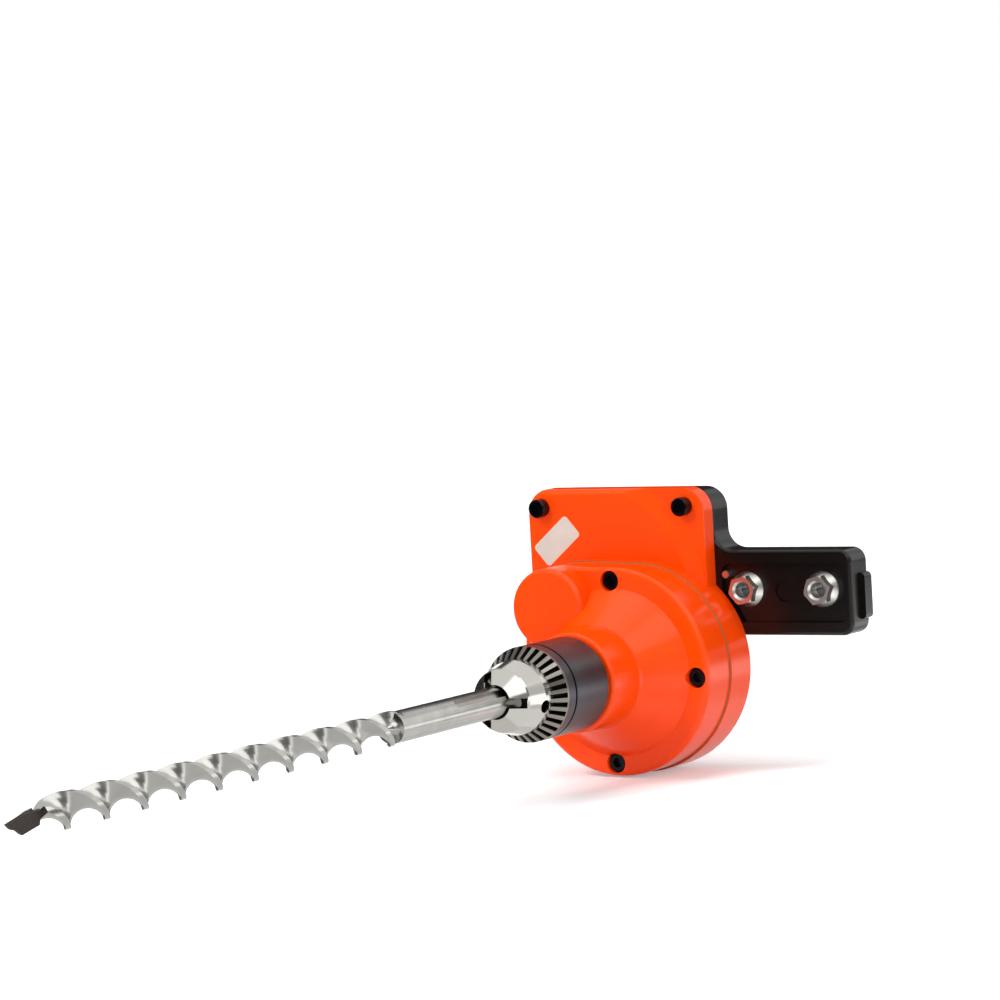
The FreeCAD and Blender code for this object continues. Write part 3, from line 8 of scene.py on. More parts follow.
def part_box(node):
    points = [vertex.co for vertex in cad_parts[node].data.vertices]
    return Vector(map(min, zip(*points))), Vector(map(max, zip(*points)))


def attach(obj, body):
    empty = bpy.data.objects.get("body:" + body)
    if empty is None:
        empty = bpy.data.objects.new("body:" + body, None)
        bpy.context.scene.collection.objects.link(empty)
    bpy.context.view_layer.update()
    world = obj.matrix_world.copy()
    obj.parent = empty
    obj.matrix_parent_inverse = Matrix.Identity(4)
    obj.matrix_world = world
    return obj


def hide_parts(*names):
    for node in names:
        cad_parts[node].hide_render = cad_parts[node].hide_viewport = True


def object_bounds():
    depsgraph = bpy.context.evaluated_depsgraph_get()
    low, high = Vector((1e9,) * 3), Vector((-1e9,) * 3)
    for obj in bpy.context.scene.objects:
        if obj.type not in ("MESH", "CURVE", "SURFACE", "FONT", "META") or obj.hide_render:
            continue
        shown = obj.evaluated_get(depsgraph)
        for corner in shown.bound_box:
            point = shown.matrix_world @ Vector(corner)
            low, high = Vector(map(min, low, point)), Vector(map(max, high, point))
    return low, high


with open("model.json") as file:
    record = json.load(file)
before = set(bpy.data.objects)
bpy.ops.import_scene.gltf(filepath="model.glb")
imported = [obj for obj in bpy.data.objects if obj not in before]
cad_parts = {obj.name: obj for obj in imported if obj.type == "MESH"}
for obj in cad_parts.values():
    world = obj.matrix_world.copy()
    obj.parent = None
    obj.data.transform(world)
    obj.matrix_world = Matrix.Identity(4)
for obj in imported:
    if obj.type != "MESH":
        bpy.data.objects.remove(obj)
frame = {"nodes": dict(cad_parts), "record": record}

# Chainsaw auger attachment, dressed for the picture. Lengths are metres in the solids' frame,
# except where a comment says millimetres
MM = 0.001
cad_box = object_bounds()

# The camera, as measured on the photograph: direction, distance, focal length, and the pixel
# where the drill axis meets the plane of the front cover's rim
VIEW_AZIMUTH, VIEW_ELEVATION, VIEW_ROLL = (math.radians(angle) for angle in (30.0, 6.4, 3.1))
VIEW_DISTANCE = 2.6
FOCAL_PIXELS = 4888.0
AIM_PIXEL = (615.4, 672.3)
IMAGE_SIZE = 1000.0
SENSOR_WIDTH = 36.0
VIEW_REACH = 50.0
# The drill axis, and the rim of the front cover on it
AXIS_X, RIM_Y, AXIS_Z = -78.5 * MM, -64.0 * MM, -39.1 * MM

# The blank label, and the thickness of the plate that it is stuck on
PLATE_THICK = 13.0 * MM
LABEL_SIZE = (27.0 * MM, 14.0 * MM)
LABEL_CORNER, CORNER_POINTS = 2.0 * MM, 7
LABEL_THICK = 0.15 * MM
LABEL_PLACE = (AXIS_X - 51.0 * MM, AXIS_Z + 67.0 * MM)
LABEL_TILT = math.radians(40.4)
# An edge that bends by more than this stays sharp, and points nearer than this become one
SMOOTH_ANGLE = math.radians(32.0)
WELD = 0.001 * MM

# The bit in millimetres, with places along the drill axis from the rim, forward negative
SHANK_R, SHANK_REAR, SHANK_CHAMFER = 7.95, -82.0, 1.0
# Half the flutes' width, the strip's half thickness at its middle and at its edges, and the lead
FLUTE_R, FLUTE_CORE, FLUTE_LAND, FLUTE_LEAD = 8.7, 1.65, 1.9, 60.0
FLUTE_START, FLUTE_END, FLUTE_NECK = -224.0, -528.0, 7.0
# The cone at the tip: its length and its radius at the end
FLUTE_TAPER, FLUTE_SMALL = 22.0, 2.8
FLUTE_TURN = math.radians(109.0)
# How far the strip runs into the shank, the length over which its lands sink, and how deep
FLUTE_INTO, SINK_LENGTH, SINK_DEPTH = 12.0, 7.0, 0.4
# The flat that the carbide plate stands on: its rear end, its height over the axis, its turn
SEAT_BACK, SEAT_FLAT, SEAT_TURN = -515.97, 0.53, math.radians(78.7)
SLOT_WIDE, SLOT_DEEP, SLOT_FRONT = 4.5, 2.2, -170.0
SLOT_TURN = math.radians(42.0)
# The step between two rings where the surface turns at once
STEP = 0.01
# How many points the sections have on a face and a land, and rings at the tip and behind it
FACE_POINTS, LAND_POINTS, TIP_RINGS, FLUTE_RINGS = 29, 9, 40, 480
# And on the shank: rings of the neck and of a groove's round end, points on an arc and a floor
NECK_RINGS, SLOT_RINGS, ARC_POINTS, FLOOR_POINTS = 24, 12, 15, 7

# What the bright metal mirrors. Each screen has its radius in metres, its azimuths round the
# drill axis in degrees from the front, the heights of its edges and its level
LOW, BROW, TOP, HIGH = -0.12, 0.03, 0.34, 1.6
SCREENS = {
    "left_screen": (0.85, (-115, 14), (LOW, TOP), 0.04),
    "tip_screen": (0.85, (14, 46), (LOW, 0.16), 0.3),
    "right_window": (0.85, (14, 46), (0.16, HIGH), 2.0),
    "right_screen": (0.85, (46, 78), (LOW, 0.5), 0.2),
    "bit_gleam": (0.85, (78, 137), (LOW, BROW), 1.9),
    "bit_screen": (0.85, (78, 100), (BROW, 0.5), 0.3),
    "chuck_screen": (0.85, (100, 120), (BROW, 0.5), 0.7),
    "rear_gleam": (0.85, (120, 160), (BROW, 0.5), 1.2),
    "side_screen": (0.85, (140, 165), (-0.07, BROW), 0.08),
    "high_window": (0.85, (46, 118), (0.5, HIGH), 2.0),
    "rear_screen": (0.85, (160, 190), (LOW, 0.2), 0.12),
    "shank_screen": (0.85, (160, 190), (0.2, 0.6), 0.65),
    "case_screen": (0.85, (190, 222), (LOW, 0.6), 0.03),
    "left_window": (0.85, (222, 240), (LOW, 0.3), 1.8),
    "roof_screen": (0.85, (235, 285), (TOP, HIGH), 0.3),
    "front_screen": (3.2, (-75, 14), (-0.5, 2.6), 0.15),
    "dark_strip": (2.6, (172, 232), (0.75, 1.5), 0.02),
}
# Cards on the floor: their sides and ends in millimetres from the rim, and their level
GROUND_CARDS = {
    "bit_ground": ((-90, 12), (-620, -50), 0.8),
    "bit_floor": ((12, 230), (-620, -210), 0.8),
    "bit_far": ((230, 420), (-620, -210), 1.9),
    "chuck_ground": ((12, 420), (-210, -50), 1.0),
    "left_ground": ((-900, -90), (-900, 100), 0.15),
    "case_ground": ((90, 170), (-50, 900), 0.8),
    "right_ground": ((170, 500), (-50, 900), 1.9),
    "far_ground": ((500, 800), (-50, 900), 0.9),
}
SCREEN_STEPS = 25
CARD_LIFT = 0.5 * MM
FLOOR_REACH = 9.0
# From the first of these distances to the second, the floor's own white grows between the levels
GLOW_REACH, GLOW_LEVEL = (0.5, 2.5), (0.3, 1.0)
# The world's strength as a lamp, and as the camera and mirrors see it
WORLD_LIT, WORLD_SEEN = 0.5, 1.0
# The lamps: place, sides of the rectangle and watts
LAMPS = {
    "key": ((-0.9, -1.6, 1.5), (0.7, 0.7), 26.0),
    "fill": ((1.7, -1.2, 0.5), (1.0, 1.0), 14.0),
    "top": ((-0.1, -0.1, 1.8), (1.2, 0.8), 16.0),
}
LAMP_AIM = (AXIS_X, RIM_Y - 0.1, AXIS_Z)


def linear(code):
    """Turns an sRGB hex colour into the linear colour with alpha that a socket takes."""
    parts = np.array([int(code[i:i + 2], 16) for i in (1, 3, 5)]) / 255.0
    light = np.where(parts <= 0.04045, parts / 12.92, ((parts + 0.055) / 1.055) ** 2.4)
    return (*light.tolist(), 1.0)


def add(tree, kind, sockets=None, **settings):
    """Adds a node with its settings; a socket in sockets is linked, any other value is set."""
    item = tree.nodes.new("ShaderNode" + kind)
    for name, setting in settings.items():
        setattr(item, name, setting)
    for name, value in (sockets or {}).items():
        if isinstance(value, bpy.types.NodeSocket):
            tree.links.new(value, item.inputs[name])
        else:
            item.inputs[name].default_value = value
    return item


def new_material(name):
    """An empty material and its tree."""
    made = bpy.data.materials.new(name)
    made.use_nodes = True
    made.node_tree.nodes.clear()
    return made, made.node_tree


def close(tree, sockets):
    """Ends a tree in one Principled shader with these sockets."""
    shader = add(tree, "BsdfPrincipled", sockets)
    add(tree, "OutputMaterial", {"Surface": shader.outputs[0]})


def spread(tree, fac, low, high, colours=False):
    """Maps a factor from 0 to 1 onto a range of numbers, or between two colours."""
    if colours:
        ramp = add(tree, "ValToRGB", {"Fac": fac})
        ramp.color_ramp.elements[0].color = linear(low)
        ramp.color_ramp.elements[1].color = linear(high)
        return ramp.outputs["Color"]
    mapped = add(tree, "MapRange", {"Value": fac, "To Min": low, "To Max": high})
    return mapped.outputs["Result"]


def cloud(tree, size, detail=3.0, rough=0.5):
    """Noise whose blotches are about size metres across, on the object's own coordinates."""
    place = add(tree, "TexCoord").outputs["Object"]
    noise = add(tree, "TexNoise", {"Vector": place, "Scale": 1.0 / size, "Detail": detail,
                                   "Roughness": rough})
    return noise.outputs["Fac"]


def lathe_rings(tree, step):
    """Noise that changes along the drill axis alone, so that it draws rings about step wide.

    A lathe's real rings are about 0.1 mm wide, which is too fine to show, so steps are coarser.
    """
    place = add(tree, "TexCoord").outputs["Object"]
    along = add(tree, "SeparateXYZ", {"Vector": place}).outputs["Y"]
    return add(tree, "TexNoise", {"W": along, "Scale": 1.0 / step, "Detail": 2.0},
               noise_dimensions="1D").outputs["Fac"]


def relief(tree, height, depth, strength=1.0, under=None):
    """A bump of the given depth in metres, laid over another bump if there is one."""
    sockets = {"Height": height, "Distance": depth, "Strength": strength}
    if under:
        sockets["Normal"] = under
    return add(tree, "Bump", sockets).outputs["Normal"]


def sprayed_enamel():
    """Gloss orange enamel sprayed on die-cast alloy: deep colour, soft ripple, thin sheen."""
    made, tree = new_material("sprayed_enamel")
    tone = cloud(tree, 30 * MM)
    ripple = relief(tree, cloud(tree, 2.2 * MM, 2.0), 0.02 * MM, 0.5)
    grain = relief(tree, cloud(tree, 0.5 * MM, 2.0), 0.003 * MM, 0.5, ripple)
    close(tree, {"Base Color": spread(tree, tone, "#F64200", "#FE4C00", True),
                 "IOR": 1.36, "Roughness": spread(tree, cloud(tree, 8 * MM), 0.17, 0.24),
                 "Normal": grain})
    return made


def black_cast_enamel():
    """Brownish black stoving enamel over sand-cast alloy: pebbled skin with a low sheen.

    The pebbles of such a casting are about 0.4 mm wide, and are drawn coarser so that they show.
    """
    made, tree = new_material("black_cast_enamel")
    pebbles = relief(tree, cloud(tree, 1.1 * MM, 4.0, 0.6), 0.02 * MM, 0.5)
    close(tree, {"Base Color": spread(tree, cloud(tree, 18 * MM), "#080504", "#120C0A", True),
                 "IOR": 1.4, "Roughness": spread(tree, cloud(tree, 5 * MM), 0.2, 0.3),
                 "Normal": pebbles})
    return made


def depth_under(tree, lines):
    """How far a point lies inside the solid that a profile turned about the drill axis bounds.

    Each line of the profile joins two (radius, y) points in millimetres from the rim, with y
    forward negative. The depth is the least of the distances to the lines, counted inward.
    """
    place = add(tree, "TexCoord").outputs["Object"]
    local = add(tree, "VectorMath", {0: place, 1: (AXIS_X, RIM_Y, AXIS_Z)}, operation="SUBTRACT")
    flat = add(tree, "VectorMath", {0: local.outputs[0], 1: (1, 0, 1)}, operation="MULTIPLY")
    radius = add(tree, "VectorMath", {0: flat.outputs[0]}, operation="LENGTH").outputs["Value"]
    along = add(tree, "SeparateXYZ", {"Vector": local.outputs[0]}).outputs["Y"]
    pair = add(tree, "CombineXYZ", {"X": radius, "Y": along}).outputs[0]
    depth = None
    for start, end in lines:
        start, end = np.array(start) * MM, np.array(end) * MM
        run = (end - start) / np.linalg.norm(end - start)
        inward = np.array([run[1], -run[0]])
        offset = add(tree, "VectorMath", {0: pair, 1: (*start, 0)}, operation="SUBTRACT")
        inside = add(tree, "VectorMath", {0: offset.outputs[0], 1: (*inward, 0)},
                     operation="DOT_PRODUCT").outputs["Value"]
        if depth is not None:
            inside = add(tree, "Math", {0: depth, 1: inside}, operation="MINIMUM").outputs[0]
        depth = inside
    return depth


def shaded_hollow_steel(name, lines, depths, skin, rough):
    """Polished steel with painted shade in its holes and tooth gaps: bright skin that darkens to
    near black with depth under the profile.
    """
    made, tree = new_material(name)
    shallow, deep = depths
    sunk = add(tree, "MapRange", {"Value": depth_under(tree, lines), "From Min": shallow * MM,
                                  "From Max": deep * MM}).outputs["Result"]
    # Painted shade: the base colour runs from the skin to near black as the depth into a hollow
    # grows
    close(tree, {"Base Color": spread(tree, sunk, skin, "#1A1817", True), "Metallic": 1.0,
                 "Roughness": spread(tree, sunk, rough, 0.45),
                 "Normal": relief(tree, lathe_rings(tree, 0.6 * MM), 0.003 * MM, 0.5)})
    return made


def turned_steel(name, dark, pale, rough, step, depth):
    """Steel turned on a lathe: fine rings round the drill axis that stretch each highlight."""
    made, tree = new_material(name)
    rings = lathe_rings(tree, step)
    low, high = rough
    close(tree, {"Base Color": spread(tree, cloud(tree, 12 * MM), dark, pale, True),
                 "Metallic": 1.0, "Roughness": spread(tree, rings, low, high),
                 "Normal": relief(tree, rings, depth, 0.5)})
    return made


def plain_steel(name, dark, pale, rough, grain, depth):
    """Steel left as rolled, ground or plated: faint cloudy tone and a fine even grain."""
    made, tree = new_material(name)
    low, high = rough
    close(tree, {"Base Color": spread(tree, cloud(tree, 6 * MM), dark, pale, True),
                 "Metallic": 1.0, "Roughness": spread(tree, cloud(tree, 3 * MM), low, high),
                 "Normal": relief(tree, cloud(tree, grain, 3.0), depth, 0.5)})
    return made


def sintered_carbide():
    """Brazed hard metal with flux and soot on it: rough, mottled, brown to black."""
    made, tree = new_material("sintered_carbide")
    mottle = cloud(tree, 1.6 * MM, 5.0, 0.65)
    close(tree, {"Base Color": spread(tree, mottle, "#14100E", "#4A3F3A", True), "Metallic": 0.55,
                 "Roughness": spread(tree, mottle, 0.4, 0.65),
                 "Normal": relief(tree, mottle, 0.15 * MM, 0.7)})
    return made


def pressed_paper():
    """Oiled gasket paper: matt tan fibres, seen only at its cut edge."""
    made, tree = new_material("pressed_paper")
    close(tree, {"Base Color": spread(tree, cloud(tree, 1.5 * MM), "#7A4E2C", "#A8794C", True),
                 "Roughness": 0.85, "Normal": relief(tree, cloud(tree, 0.5 * MM), 0.05 * MM)})
    return made


def moulded_rubber():
    """Moulded nitrile rubber of the shaft seals: black, matt, slightly dusty."""
    made, tree = new_material("moulded_rubber")
    close(tree, {"Base Color": spread(tree, cloud(tree, 3 * MM), "#141414", "#222120", True),
                 "Roughness": 0.7, "Normal": relief(tree, cloud(tree, 0.6 * MM), 0.02 * MM)})
    return made


def vinyl_label():
    """Blank white vinyl label: smooth, a little yellowed, faintly uneven where it is stuck."""
    made, tree = new_material("vinyl_label")
    close(tree, {"Base Color": spread(tree, cloud(tree, 6 * MM), "#C6C2B8", "#D4D0C6", True),
                 "Roughness": 0.35, "Normal": relief(tree, cloud(tree, 4 * MM), 0.02 * MM)})
    return made


# The profiles of the chuck's nose and of the toothed ring, as (radius, y) from the rim
NOSE_LINES = [((19.5, -101.0), (19.5, -106.0)), ((19.5, -106.0), (16.8, -117.4)),
              ((16.3, -118.4), (9.0, -124.5))]
RING_LINES = [((25.0, -93.2), (19.6, -101.0))]
MATERIALS = {
    "orange_paint": sprayed_enamel(),
    "black_casting": black_cast_enamel(),
    "gasket_sheet": pressed_paper(),
    "black_steel": plain_steel("blackened_steel", "#1E1E21", "#34343A", (0.26, 0.4),
                               0.4 * MM, 0.01 * MM),
    "zinc_steel": plain_steel("zinc_plated_steel", "#C6C4BE", "#E0DED8", (0.28, 0.4),
                              0.5 * MM, 0.01 * MM),
    "bearing_steel": turned_steel("ground_bearing_steel", "#A9A9A8", "#C4C4C2", (0.15, 0.25),
                                  0.3 * MM, 0.003 * MM),
    "seal_rubber": moulded_rubber(),
    "collar_finish": turned_steel("phosphated_steel", "#484C50", "#565A5E", (0.28, 0.4),
                                  0.5 * MM, 0.008 * MM),
    "polished_steel": shaded_hollow_steel("polished_chuck_steel", NOSE_LINES, (0.35, 1.2), "#C9C6BF", 0.14),
    "bit_steel": turned_steel("ground_bit_steel", "#A6A5A0", "#C2C1BC", (0.16, 0.28),
                              0.5 * MM, 0.005 * MM),
    "hard_metal": sintered_carbide(),
}
# Nodes whose finish departs from their slot's
OWN_FINISH = {
    "chuck_ring": shaded_hollow_steel("toothed_ring_steel", RING_LINES, (0.3, 1.6), "#928E86", 0.3),
}


def read_floats(items, field, width):
    """The values of a field of mesh items, as an array with width columns."""
    values = np.empty(len(items) * width, dtype=np.float32)
    items.foreach_get(field, values)
    return values.reshape(-1, width)


def dress(name, body, slot):
    """Shows a solid as a piece with shared vertices and the solid's own normals, in its finish.

    Points within WELD of each other become one. The triangles keep the normals that the solid's
    surfaces have at their corners, so flats stay flat and rounds stay round.
    """
    solid = frame["nodes"][name].data
    points = read_floats(solid.vertices, "co", 3)
    normals = read_floats(solid.corner_normals, "vector", 3).reshape(-1, 3, 3)
    corners = np.empty(len(solid.loops), dtype=np.int32)
    solid.loops.foreach_get("vertex_index", corners)
    _, first, shared = np.unique(np.round(points / WELD), axis=0, return_index=True,
                                 return_inverse=True)
    faces = shared.reshape(-1)[corners].reshape(-1, 3)
    whole = (faces != np.roll(faces, 1, axis=1)).all(axis=1)
    mesh = bpy.data.meshes.new(name + "_skin")
    mesh.from_pydata(points[first].tolist(), [], faces[whole].tolist())
    mesh.shade_smooth()
    mesh.normals_split_custom_set(normals[whole].reshape(-1, 3).tolist())
    mesh.materials.append(OWN_FINISH.get(name, MATERIALS[slot]))
    piece = bpy.data.objects.new(name + "_skin", mesh)
    bpy.context.scene.collection.objects.link(piece)
    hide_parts(name)
    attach(piece, body)


def mesh_piece(name, points, faces, body):
    """Makes a piece from arrays of points and faces, and rides it on a body."""
    mesh = bpy.data.meshes.new(name)
    mesh.from_pydata(points.tolist(), [], faces)
    mesh.validate()
    mesh.shade_smooth()
    mesh.set_sharp_from_angle(angle=SMOOTH_ANGLE)
    piece = bpy.data.objects.new(name, mesh)
    bpy.context.scene.collection.objects.link(piece)
    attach(piece, body)
    return piece


def shell_faces(rows, count, first=0):
    """Quads between rings of a grid of rows by count points, and a cap at each end."""
    row = np.arange(rows - 1)[:, None] * count
    step = np.arange(count)[None, :]
    ahead = (step + 1) % count
    quads = np.stack([row + step, row + ahead, row + count + ahead, row + count + step], axis=-1)
    faces = (quads.reshape(-1, 4) + first).tolist()
    faces.append((np.arange(count)[::-1] + first).tolist())
    faces.append((np.arange(count) + (rows - 1) * count + first).tolist())
    return faces


def seat_cut(ring):
    """Flattens the points of a ring that lie past the seat's flat.

    A ring's points are taken as (a, b), a along the flat and b square to it. Each run of points
    whose b is under the flat's is spread evenly over the straight line between the two places
    where the ring crosses the flat.
    """
    along = ring[:, 0] * math.cos(SEAT_TURN) + ring[:, 2] * math.sin(SEAT_TURN)
    off = ring[:, 2] * math.cos(SEAT_TURN) - ring[:, 0] * math.sin(SEAT_TURN)
    count, low = len(along), off < SEAT_FLAT
    shift = int(np.argmin(low))
    along, off, low = np.roll(along, -shift), np.roll(off, -shift), np.roll(low, -shift)
    edges = np.flatnonzero(np.diff(low.astype(int)))
    for first, last in zip(edges[::2], np.append(edges[1::2], count - 1)[:len(edges[::2])]):
        ends = []
        for a, b in ((first, first + 1), (last, (last + 1) % count)):
            share = (SEAT_FLAT - off[a]) / (off[b] - off[a])
            ends.append(along[a] + share * (along[b] - along[a]))
        along[first + 1:last + 1] = np.linspace(*ends, last - first)
        low[first + 1:last + 1] = True
    off = np.where(low, SEAT_FLAT, off)
    along, off = np.roll(along, shift), np.roll(off, shift)
    x = along * math.cos(SEAT_TURN) - off * math.sin(SEAT_TURN)
    z = along * math.sin(SEAT_TURN) + off * math.cos(SEAT_TURN)
    return np.stack([x, ring[:, 1], z], axis=-1)


def flute_surface():
    """The twisted strip of the flutes, as rings of one section turned along the drill axis.

    A point (w, n) of the section, w across the strip and n through it, goes to radius
    sqrt(w*w + n*n) and angle atan2(n, w) + turn(y). The turn grows by a full circle over each
    lead of forward travel. The half thickness is core + (land - core) * (w / top) squared, so
    the faces are slightly hollow. Near the tip each radius is held under a cone, and near the
    shank the lands sink below the shank's surface. In front of the plate's seat, what lies
    past the flat is cut away.
    """
    top = math.sqrt(FLUTE_R ** 2 - FLUTE_LAND ** 2)
    across = np.cos(np.linspace(0, math.pi, FACE_POINTS)) * top
    thick = FLUTE_CORE + (FLUTE_LAND - FLUTE_CORE) * (across / top) ** 2
    lean = np.linspace(-1, 1, LAND_POINTS)[1:-1] * math.asin(FLUTE_LAND / FLUTE_R)
    width = np.concatenate([FLUTE_R * np.cos(lean), across])
    through = np.concatenate([FLUTE_R * np.sin(lean), thick])
    width, through = np.concatenate([width, -width]), np.concatenate([through, -through])
    y = np.concatenate([np.linspace(FLUTE_END, SEAT_BACK - STEP, TIP_RINGS),
                        np.linspace(SEAT_BACK, FLUTE_START + FLUTE_INTO, FLUTE_RINGS)])[:, None]
    radius = np.hypot(width, through)[None, :]
    cone = FLUTE_SMALL + (FLUTE_R - FLUTE_SMALL) * (y - FLUTE_END) / FLUTE_TAPER
    sunk = np.clip((y - FLUTE_START) / SINK_LENGTH, 0, 1)
    sink = FLUTE_R + (SHANK_R - SINK_DEPTH - FLUTE_R) * sunk
    radius = np.minimum(radius, np.minimum(cone, sink))
    turn = FLUTE_TURN - (y - FLUTE_END) * 2 * math.pi / FLUTE_LEAD
    angle = np.arctan2(through, width)[None, :] + turn
    points = np.stack([radius * np.cos(angle), y + 0 * radius, radius * np.sin(angle)], axis=-1)
    seat = y[:, 0] < SEAT_BACK
    points[seat] = [seat_cut(ring) for ring in points[seat]]
    return points


def shank_surface():
    """The round shank with its two open grooves, ending in a hollow-ground neck at the flutes.

    Each ring is a circle of the shank's radius, which falls along a hollow quarter ellipse at the
    neck. Within half the groove's width of the groove's middle line, a ring's points leave the
    circle for the two walls and the flat floor, and that half width follows a half circle at the
    groove's front end.
    """
    neck = np.linspace(0, math.pi / 2, NECK_RINGS)
    neck_y = FLUTE_START - FLUTE_NECK * (1 - np.cos(neck))
    neck_r = FLUTE_CORE + (SHANK_R - FLUTE_CORE) * (1 - np.sin(neck))
    round_y = SLOT_FRONT - SLOT_WIDE / 2 * np.cos(np.linspace(0, math.pi / 2, SLOT_RINGS))
    y = np.concatenate([neck_y[::-1], [round_y[0] - STEP], round_y,
                        [SHANK_REAR - SHANK_CHAMFER, SHANK_REAR]])
    radius = np.concatenate([neck_r[::-1], np.full(len(round_y) + 2, SHANK_R),
                             [SHANK_R - SHANK_CHAMFER]])
    short = np.clip((SLOT_FRONT - y) / (SLOT_WIDE / 2), 0, 1)
    half = np.where(y < round_y[0], 0, SLOT_WIDE / 2 * np.sqrt(1 - short ** 2))
    floor = np.where(y < round_y[0], radius, SHANK_R - SLOT_DEEP)
    edge = np.arcsin(np.minimum(half / radius, 1))[:, None]
    arc = edge + (math.pi / 2 - edge) * np.linspace(0, 1, ARC_POINTS)[None, :]
    high, side = radius[:, None] * np.cos(arc), radius[:, None] * np.sin(arc)
    across = np.linspace(-1, 1, FLOOR_POINTS)[None, :] * half[:, None]
    flat = np.broadcast_to(floor[:, None], across.shape)
    high = np.concatenate([flat, high], axis=1)
    side = np.concatenate([across, side], axis=1)
    back = radius[:, None] * np.cos(arc[:, ::-1])
    high = np.concatenate([high, -back[:, 1:]], axis=1)
    side = np.concatenate([side, radius[:, None] * np.sin(arc[:, ::-1])[:, 1:]], axis=1)
    high, side = np.concatenate([high, -high], axis=1), np.concatenate([side, -side], axis=1)
    x = high * math.cos(SLOT_TURN) - side * math.sin(SLOT_TURN)
    z = high * math.sin(SLOT_TURN) + side * math.cos(SLOT_TURN)
    return np.stack([x, np.broadcast_to(y[:, None], x.shape), z], axis=-1)


def auger_skin():
    """Shank and flutes of the bit as two closed shells of one piece, from their formulas."""
    points, faces, first = [], [], 0
    for grid in (flute_surface(), shank_surface()):
        rows, count = grid.shape[:2]
        faces += shell_faces(rows, count, first)
        points.append(grid.reshape(-1, 3) * MM + np.array([AXIS_X, RIM_Y, AXIS_Z]))
        first += rows * count
    piece = mesh_piece("auger_bit_skin", np.concatenate(points), faces, "bit")
    piece.data.materials.append(MATERIALS["bit_steel"])
    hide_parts("auger_bit")


def blank_label():
    """A rounded rectangle of vinyl on the plate's face, without print.

    Its rim is four quarter circles joined by straight lines: at each corner, the centre of the
    rounding plus the corner radius in the direction of an angle that sweeps 90 degrees.
    """
    half_x, half_z = LABEL_SIZE[0] / 2 - LABEL_CORNER, LABEL_SIZE[1] / 2 - LABEL_CORNER
    sweep = np.linspace(0, math.pi / 2, CORNER_POINTS)
    quarter = np.arange(4).repeat(len(sweep))
    angle = np.tile(sweep, 4) + quarter * math.pi / 2
    sign_x = np.where((quarter == 0) | (quarter == 3), 1, -1)
    sign_z = np.where(quarter < 2, 1, -1)
    across = half_x * sign_x + LABEL_CORNER * np.cos(angle)
    up = half_z * sign_z + LABEL_CORNER * np.sin(angle)
    x = LABEL_PLACE[0] + across * math.cos(LABEL_TILT) - up * math.sin(LABEL_TILT)
    z = LABEL_PLACE[1] + across * math.sin(LABEL_TILT) + up * math.cos(LABEL_TILT)
    plate_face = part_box("rear_gear_case")[1][1] - PLATE_THICK
    count = len(angle)
    front = np.stack([x, np.full(count, plate_face - LABEL_THICK), z], axis=1)
    back = np.stack([x, np.full(count, plate_face), z], axis=1)
    sides = [(i, (i + 1) % count, count + (i + 1) % count, count + i) for i in range(count)]
    faces = [tuple(range(count)), tuple(reversed(range(count, 2 * count)))] + sides
    label = mesh_piece("blank_label", np.concatenate([front, back]), faces, "case")
    label.data.materials.append(vinyl_label())


def place_camera():
    """Stands the camera where the photograph was taken from, aimed so that no shift is needed.

    The view directions follow from azimuth, elevation and roll. The aimed point lies off the
    middle of the image, so the view is turned by those pixels over the focal length.
    """
    turn, lift, roll = VIEW_AZIMUTH, VIEW_ELEVATION, VIEW_ROLL
    back = Vector((math.sin(turn) * math.cos(lift), -math.cos(turn) * math.cos(lift),
                   math.sin(lift)))
    level = Vector((math.cos(turn), math.sin(turn), 0))
    upright = back.cross(level)
    right = level * math.cos(roll) - upright * math.sin(roll)
    up = upright * math.cos(roll) + level * math.sin(roll)
    middle = IMAGE_SIZE / 2
    ahead = -back * FOCAL_PIXELS + right * (middle - AIM_PIXEL[0]) + up * (AIM_PIXEL[1] - middle)
    back_new = -ahead.normalized()
    up_new = (up - back_new * up.dot(back_new)).normalized()
    right_new = up_new.cross(back_new)
    lens = bpy.data.cameras.new("camera")
    lens.sensor_width = SENSOR_WIDTH
    lens.lens = FOCAL_PIXELS * SENSOR_WIDTH / IMAGE_SIZE
    lens.clip_end = VIEW_REACH
    camera = bpy.data.objects.new("camera", lens)
    bpy.context.scene.collection.objects.link(camera)
    spot = Vector((AXIS_X, RIM_Y, AXIS_Z)) + back * VIEW_DISTANCE
    columns = Matrix((right_new, up_new, back_new)).transposed().to_4x4()
    camera.matrix_world = Matrix.Translation(spot) @ columns
    bpy.context.scene.camera = camera


def softbox(name, spot, size, watts):
    """A rectangular soft light that faces the case; mirrors show the screens and not the lamp."""
    lamp = bpy.data.lights.new(name, "AREA")
    lamp.shape = "RECTANGLE"
    lamp.size, lamp.size_y = size
    lamp.energy = watts
    item = bpy.data.objects.new(name, lamp)
    bpy.context.scene.collection.objects.link(item)
    item.visible_glossy = False
    item.location = spot
    item.rotation_euler = (Vector(LAMP_AIM) - Vector(spot)).to_track_quat("-Z", "Y").to_euler()


def seen_directly(tree, lit, shown):
    """A strength: lit for the light that falls on things, shown for camera, mirrors and glass."""
    paths = add(tree, "LightPath")
    seen = add(tree, "Math", {0: paths.outputs["Is Camera Ray"], 1: paths.outputs["Is Glossy Ray"]},
               operation="MAXIMUM")
    seen = add(tree, "Math", {0: seen.outputs[0], 1: paths.outputs["Is Transmission Ray"]},
               operation="MAXIMUM")
    return spread(tree, seen.outputs[0], lit, shown)


def matt_sheet(name, points, faces, shader):
    """A staged sheet of the studio with one shader."""
    mesh = bpy.data.meshes.new(name)
    mesh.from_pydata(points.tolist(), [], faces)
    item = bpy.data.objects.new(name, mesh)
    bpy.context.scene.collection.objects.link(item)
    made, tree = new_material(name + "_matt")
    add(tree, "OutputMaterial", {"Surface": shader(tree)})
    mesh.materials.append(made)
    return item


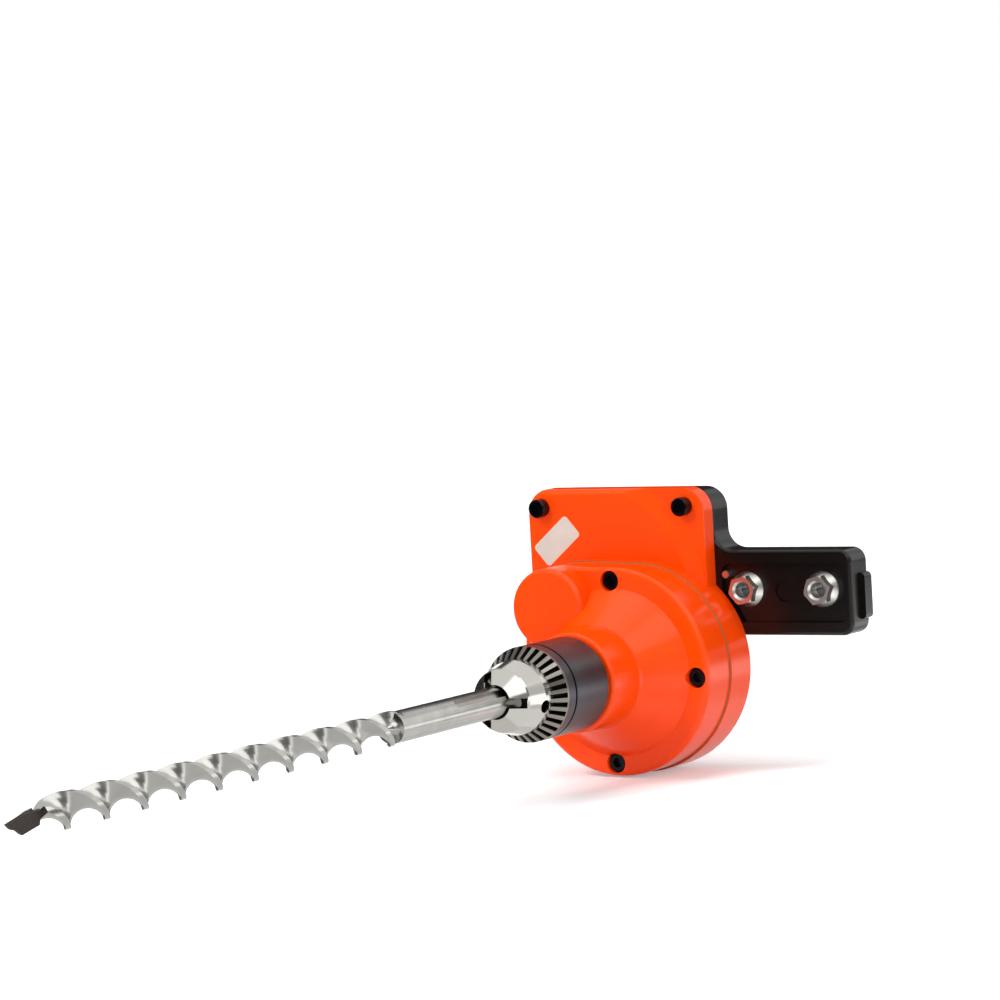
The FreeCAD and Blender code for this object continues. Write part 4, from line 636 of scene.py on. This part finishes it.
def floor_shader(tree):
    """White paper: it takes the shadow near the object and stays white towards its far edges."""
    place = add(tree, "TexCoord").outputs["Object"]
    away = add(tree, "VectorMath", {0: place}, operation="LENGTH").outputs["Value"]
    glow = add(tree, "MapRange", {"Value": away, "From Min": GLOW_REACH[0],
                                  "From Max": GLOW_REACH[1], "To Min": GLOW_LEVEL[0],
                                  "To Max": GLOW_LEVEL[1]}).outputs["Result"]
    glow = add(tree, "Math", {0: glow, 1: seen_directly(tree, 0.0, 1.0)}, operation="MULTIPLY")
    light = add(tree, "Emission", {"Color": linear("#FFFFFF"), "Strength": glow.outputs[0]})
    matt = add(tree, "BsdfDiffuse", {"Color": linear("#EDEDED")})
    return add(tree, "AddShader", {0: matt.outputs[0], 1: light.outputs[0]}).outputs[0]


def grey_shader(level):
    """The shader of a sheet of one grey, told as the strength that mirrors show."""
    def shader(tree):
        sockets = {"Color": linear("#FFFFFF"), "Strength": level}
        return add(tree, "Emission", sockets).outputs[0]
    return shader


def reflected_only(item):
    """Leaves a sheet to mirrors alone: no camera sees it and it takes no light away."""
    item.visible_camera = False
    item.visible_diffuse = False
    item.visible_shadow = False
    item.visible_transmission = False


def arched_screen(name, radius, azimuths, heights, level):
    """A grey screen round the object: a cylinder's sector, azimuth by height on a grid."""
    turns = np.radians(np.linspace(*azimuths, SCREEN_STEPS))
    around, high = np.meshgrid(turns, np.array(heights))
    points = np.stack([AXIS_X + radius * np.sin(around), RIM_Y - radius * np.cos(around), high],
                      axis=-1)
    faces = [(i, i + 1, SCREEN_STEPS + i + 1, SCREEN_STEPS + i) for i in range(SCREEN_STEPS - 1)]
    reflected_only(matt_sheet(name, points.reshape(-1, 3), faces, grey_shader(level)))


def ground_card(name, sides, ends, level):
    """A grey card that lies just over the floor beside the object, for mirrors alone."""
    left, right = (AXIS_X + side * MM for side in sides)
    front, rear = (RIM_Y + end * MM for end in ends)
    corners = np.array([[left, front], [right, front], [right, rear], [left, rear]])
    points = np.column_stack([corners, np.full(4, cad_box[0][2] + CARD_LIFT)])
    reflected_only(matt_sheet(name, points, [(0, 1, 2, 3)], grey_shader(level)))


def studio():
    """Pale floor at the object's lowest point, white surroundings, grey screens and soft lights."""
    corners = np.array([[-1, -1], [1, -1], [1, 1], [-1, 1]]) * FLOOR_REACH
    points = np.column_stack([corners, np.full(4, cad_box[0][2])])
    matt_sheet("floor", points, [(0, 1, 2, 3)], floor_shader)
    for name, shape in SCREENS.items():
        arched_screen(name, *shape)
    for name, shape in GROUND_CARDS.items():
        ground_card(name, *shape)
    world = bpy.data.worlds.new("studio")
    bpy.context.scene.world = world
    world.use_nodes = True
    tree = world.node_tree
    tree.nodes.clear()
    sky = add(tree, "Background", {"Color": linear("#FFFFFF"),
                                   "Strength": seen_directly(tree, WORLD_LIT, WORLD_SEEN)})
    add(tree, "OutputWorld", {"Surface": sky.outputs[0]})
    for name, lamp in LAMPS.items():
        softbox(name, *lamp)


place_camera()
bodies = frame["record"]["behaviour"]["bodies"]
slots = {part["node"]: part["material_slot"] for part in frame["record"]["subparts"]}
for body, nodes in bodies.items():
    for node in nodes:
        if node != "auger_bit":
            dress(node, body, slots[node])
auger_skin()
blank_label()
studio()
bpy.context.scene.view_settings.view_transform = "Standard"
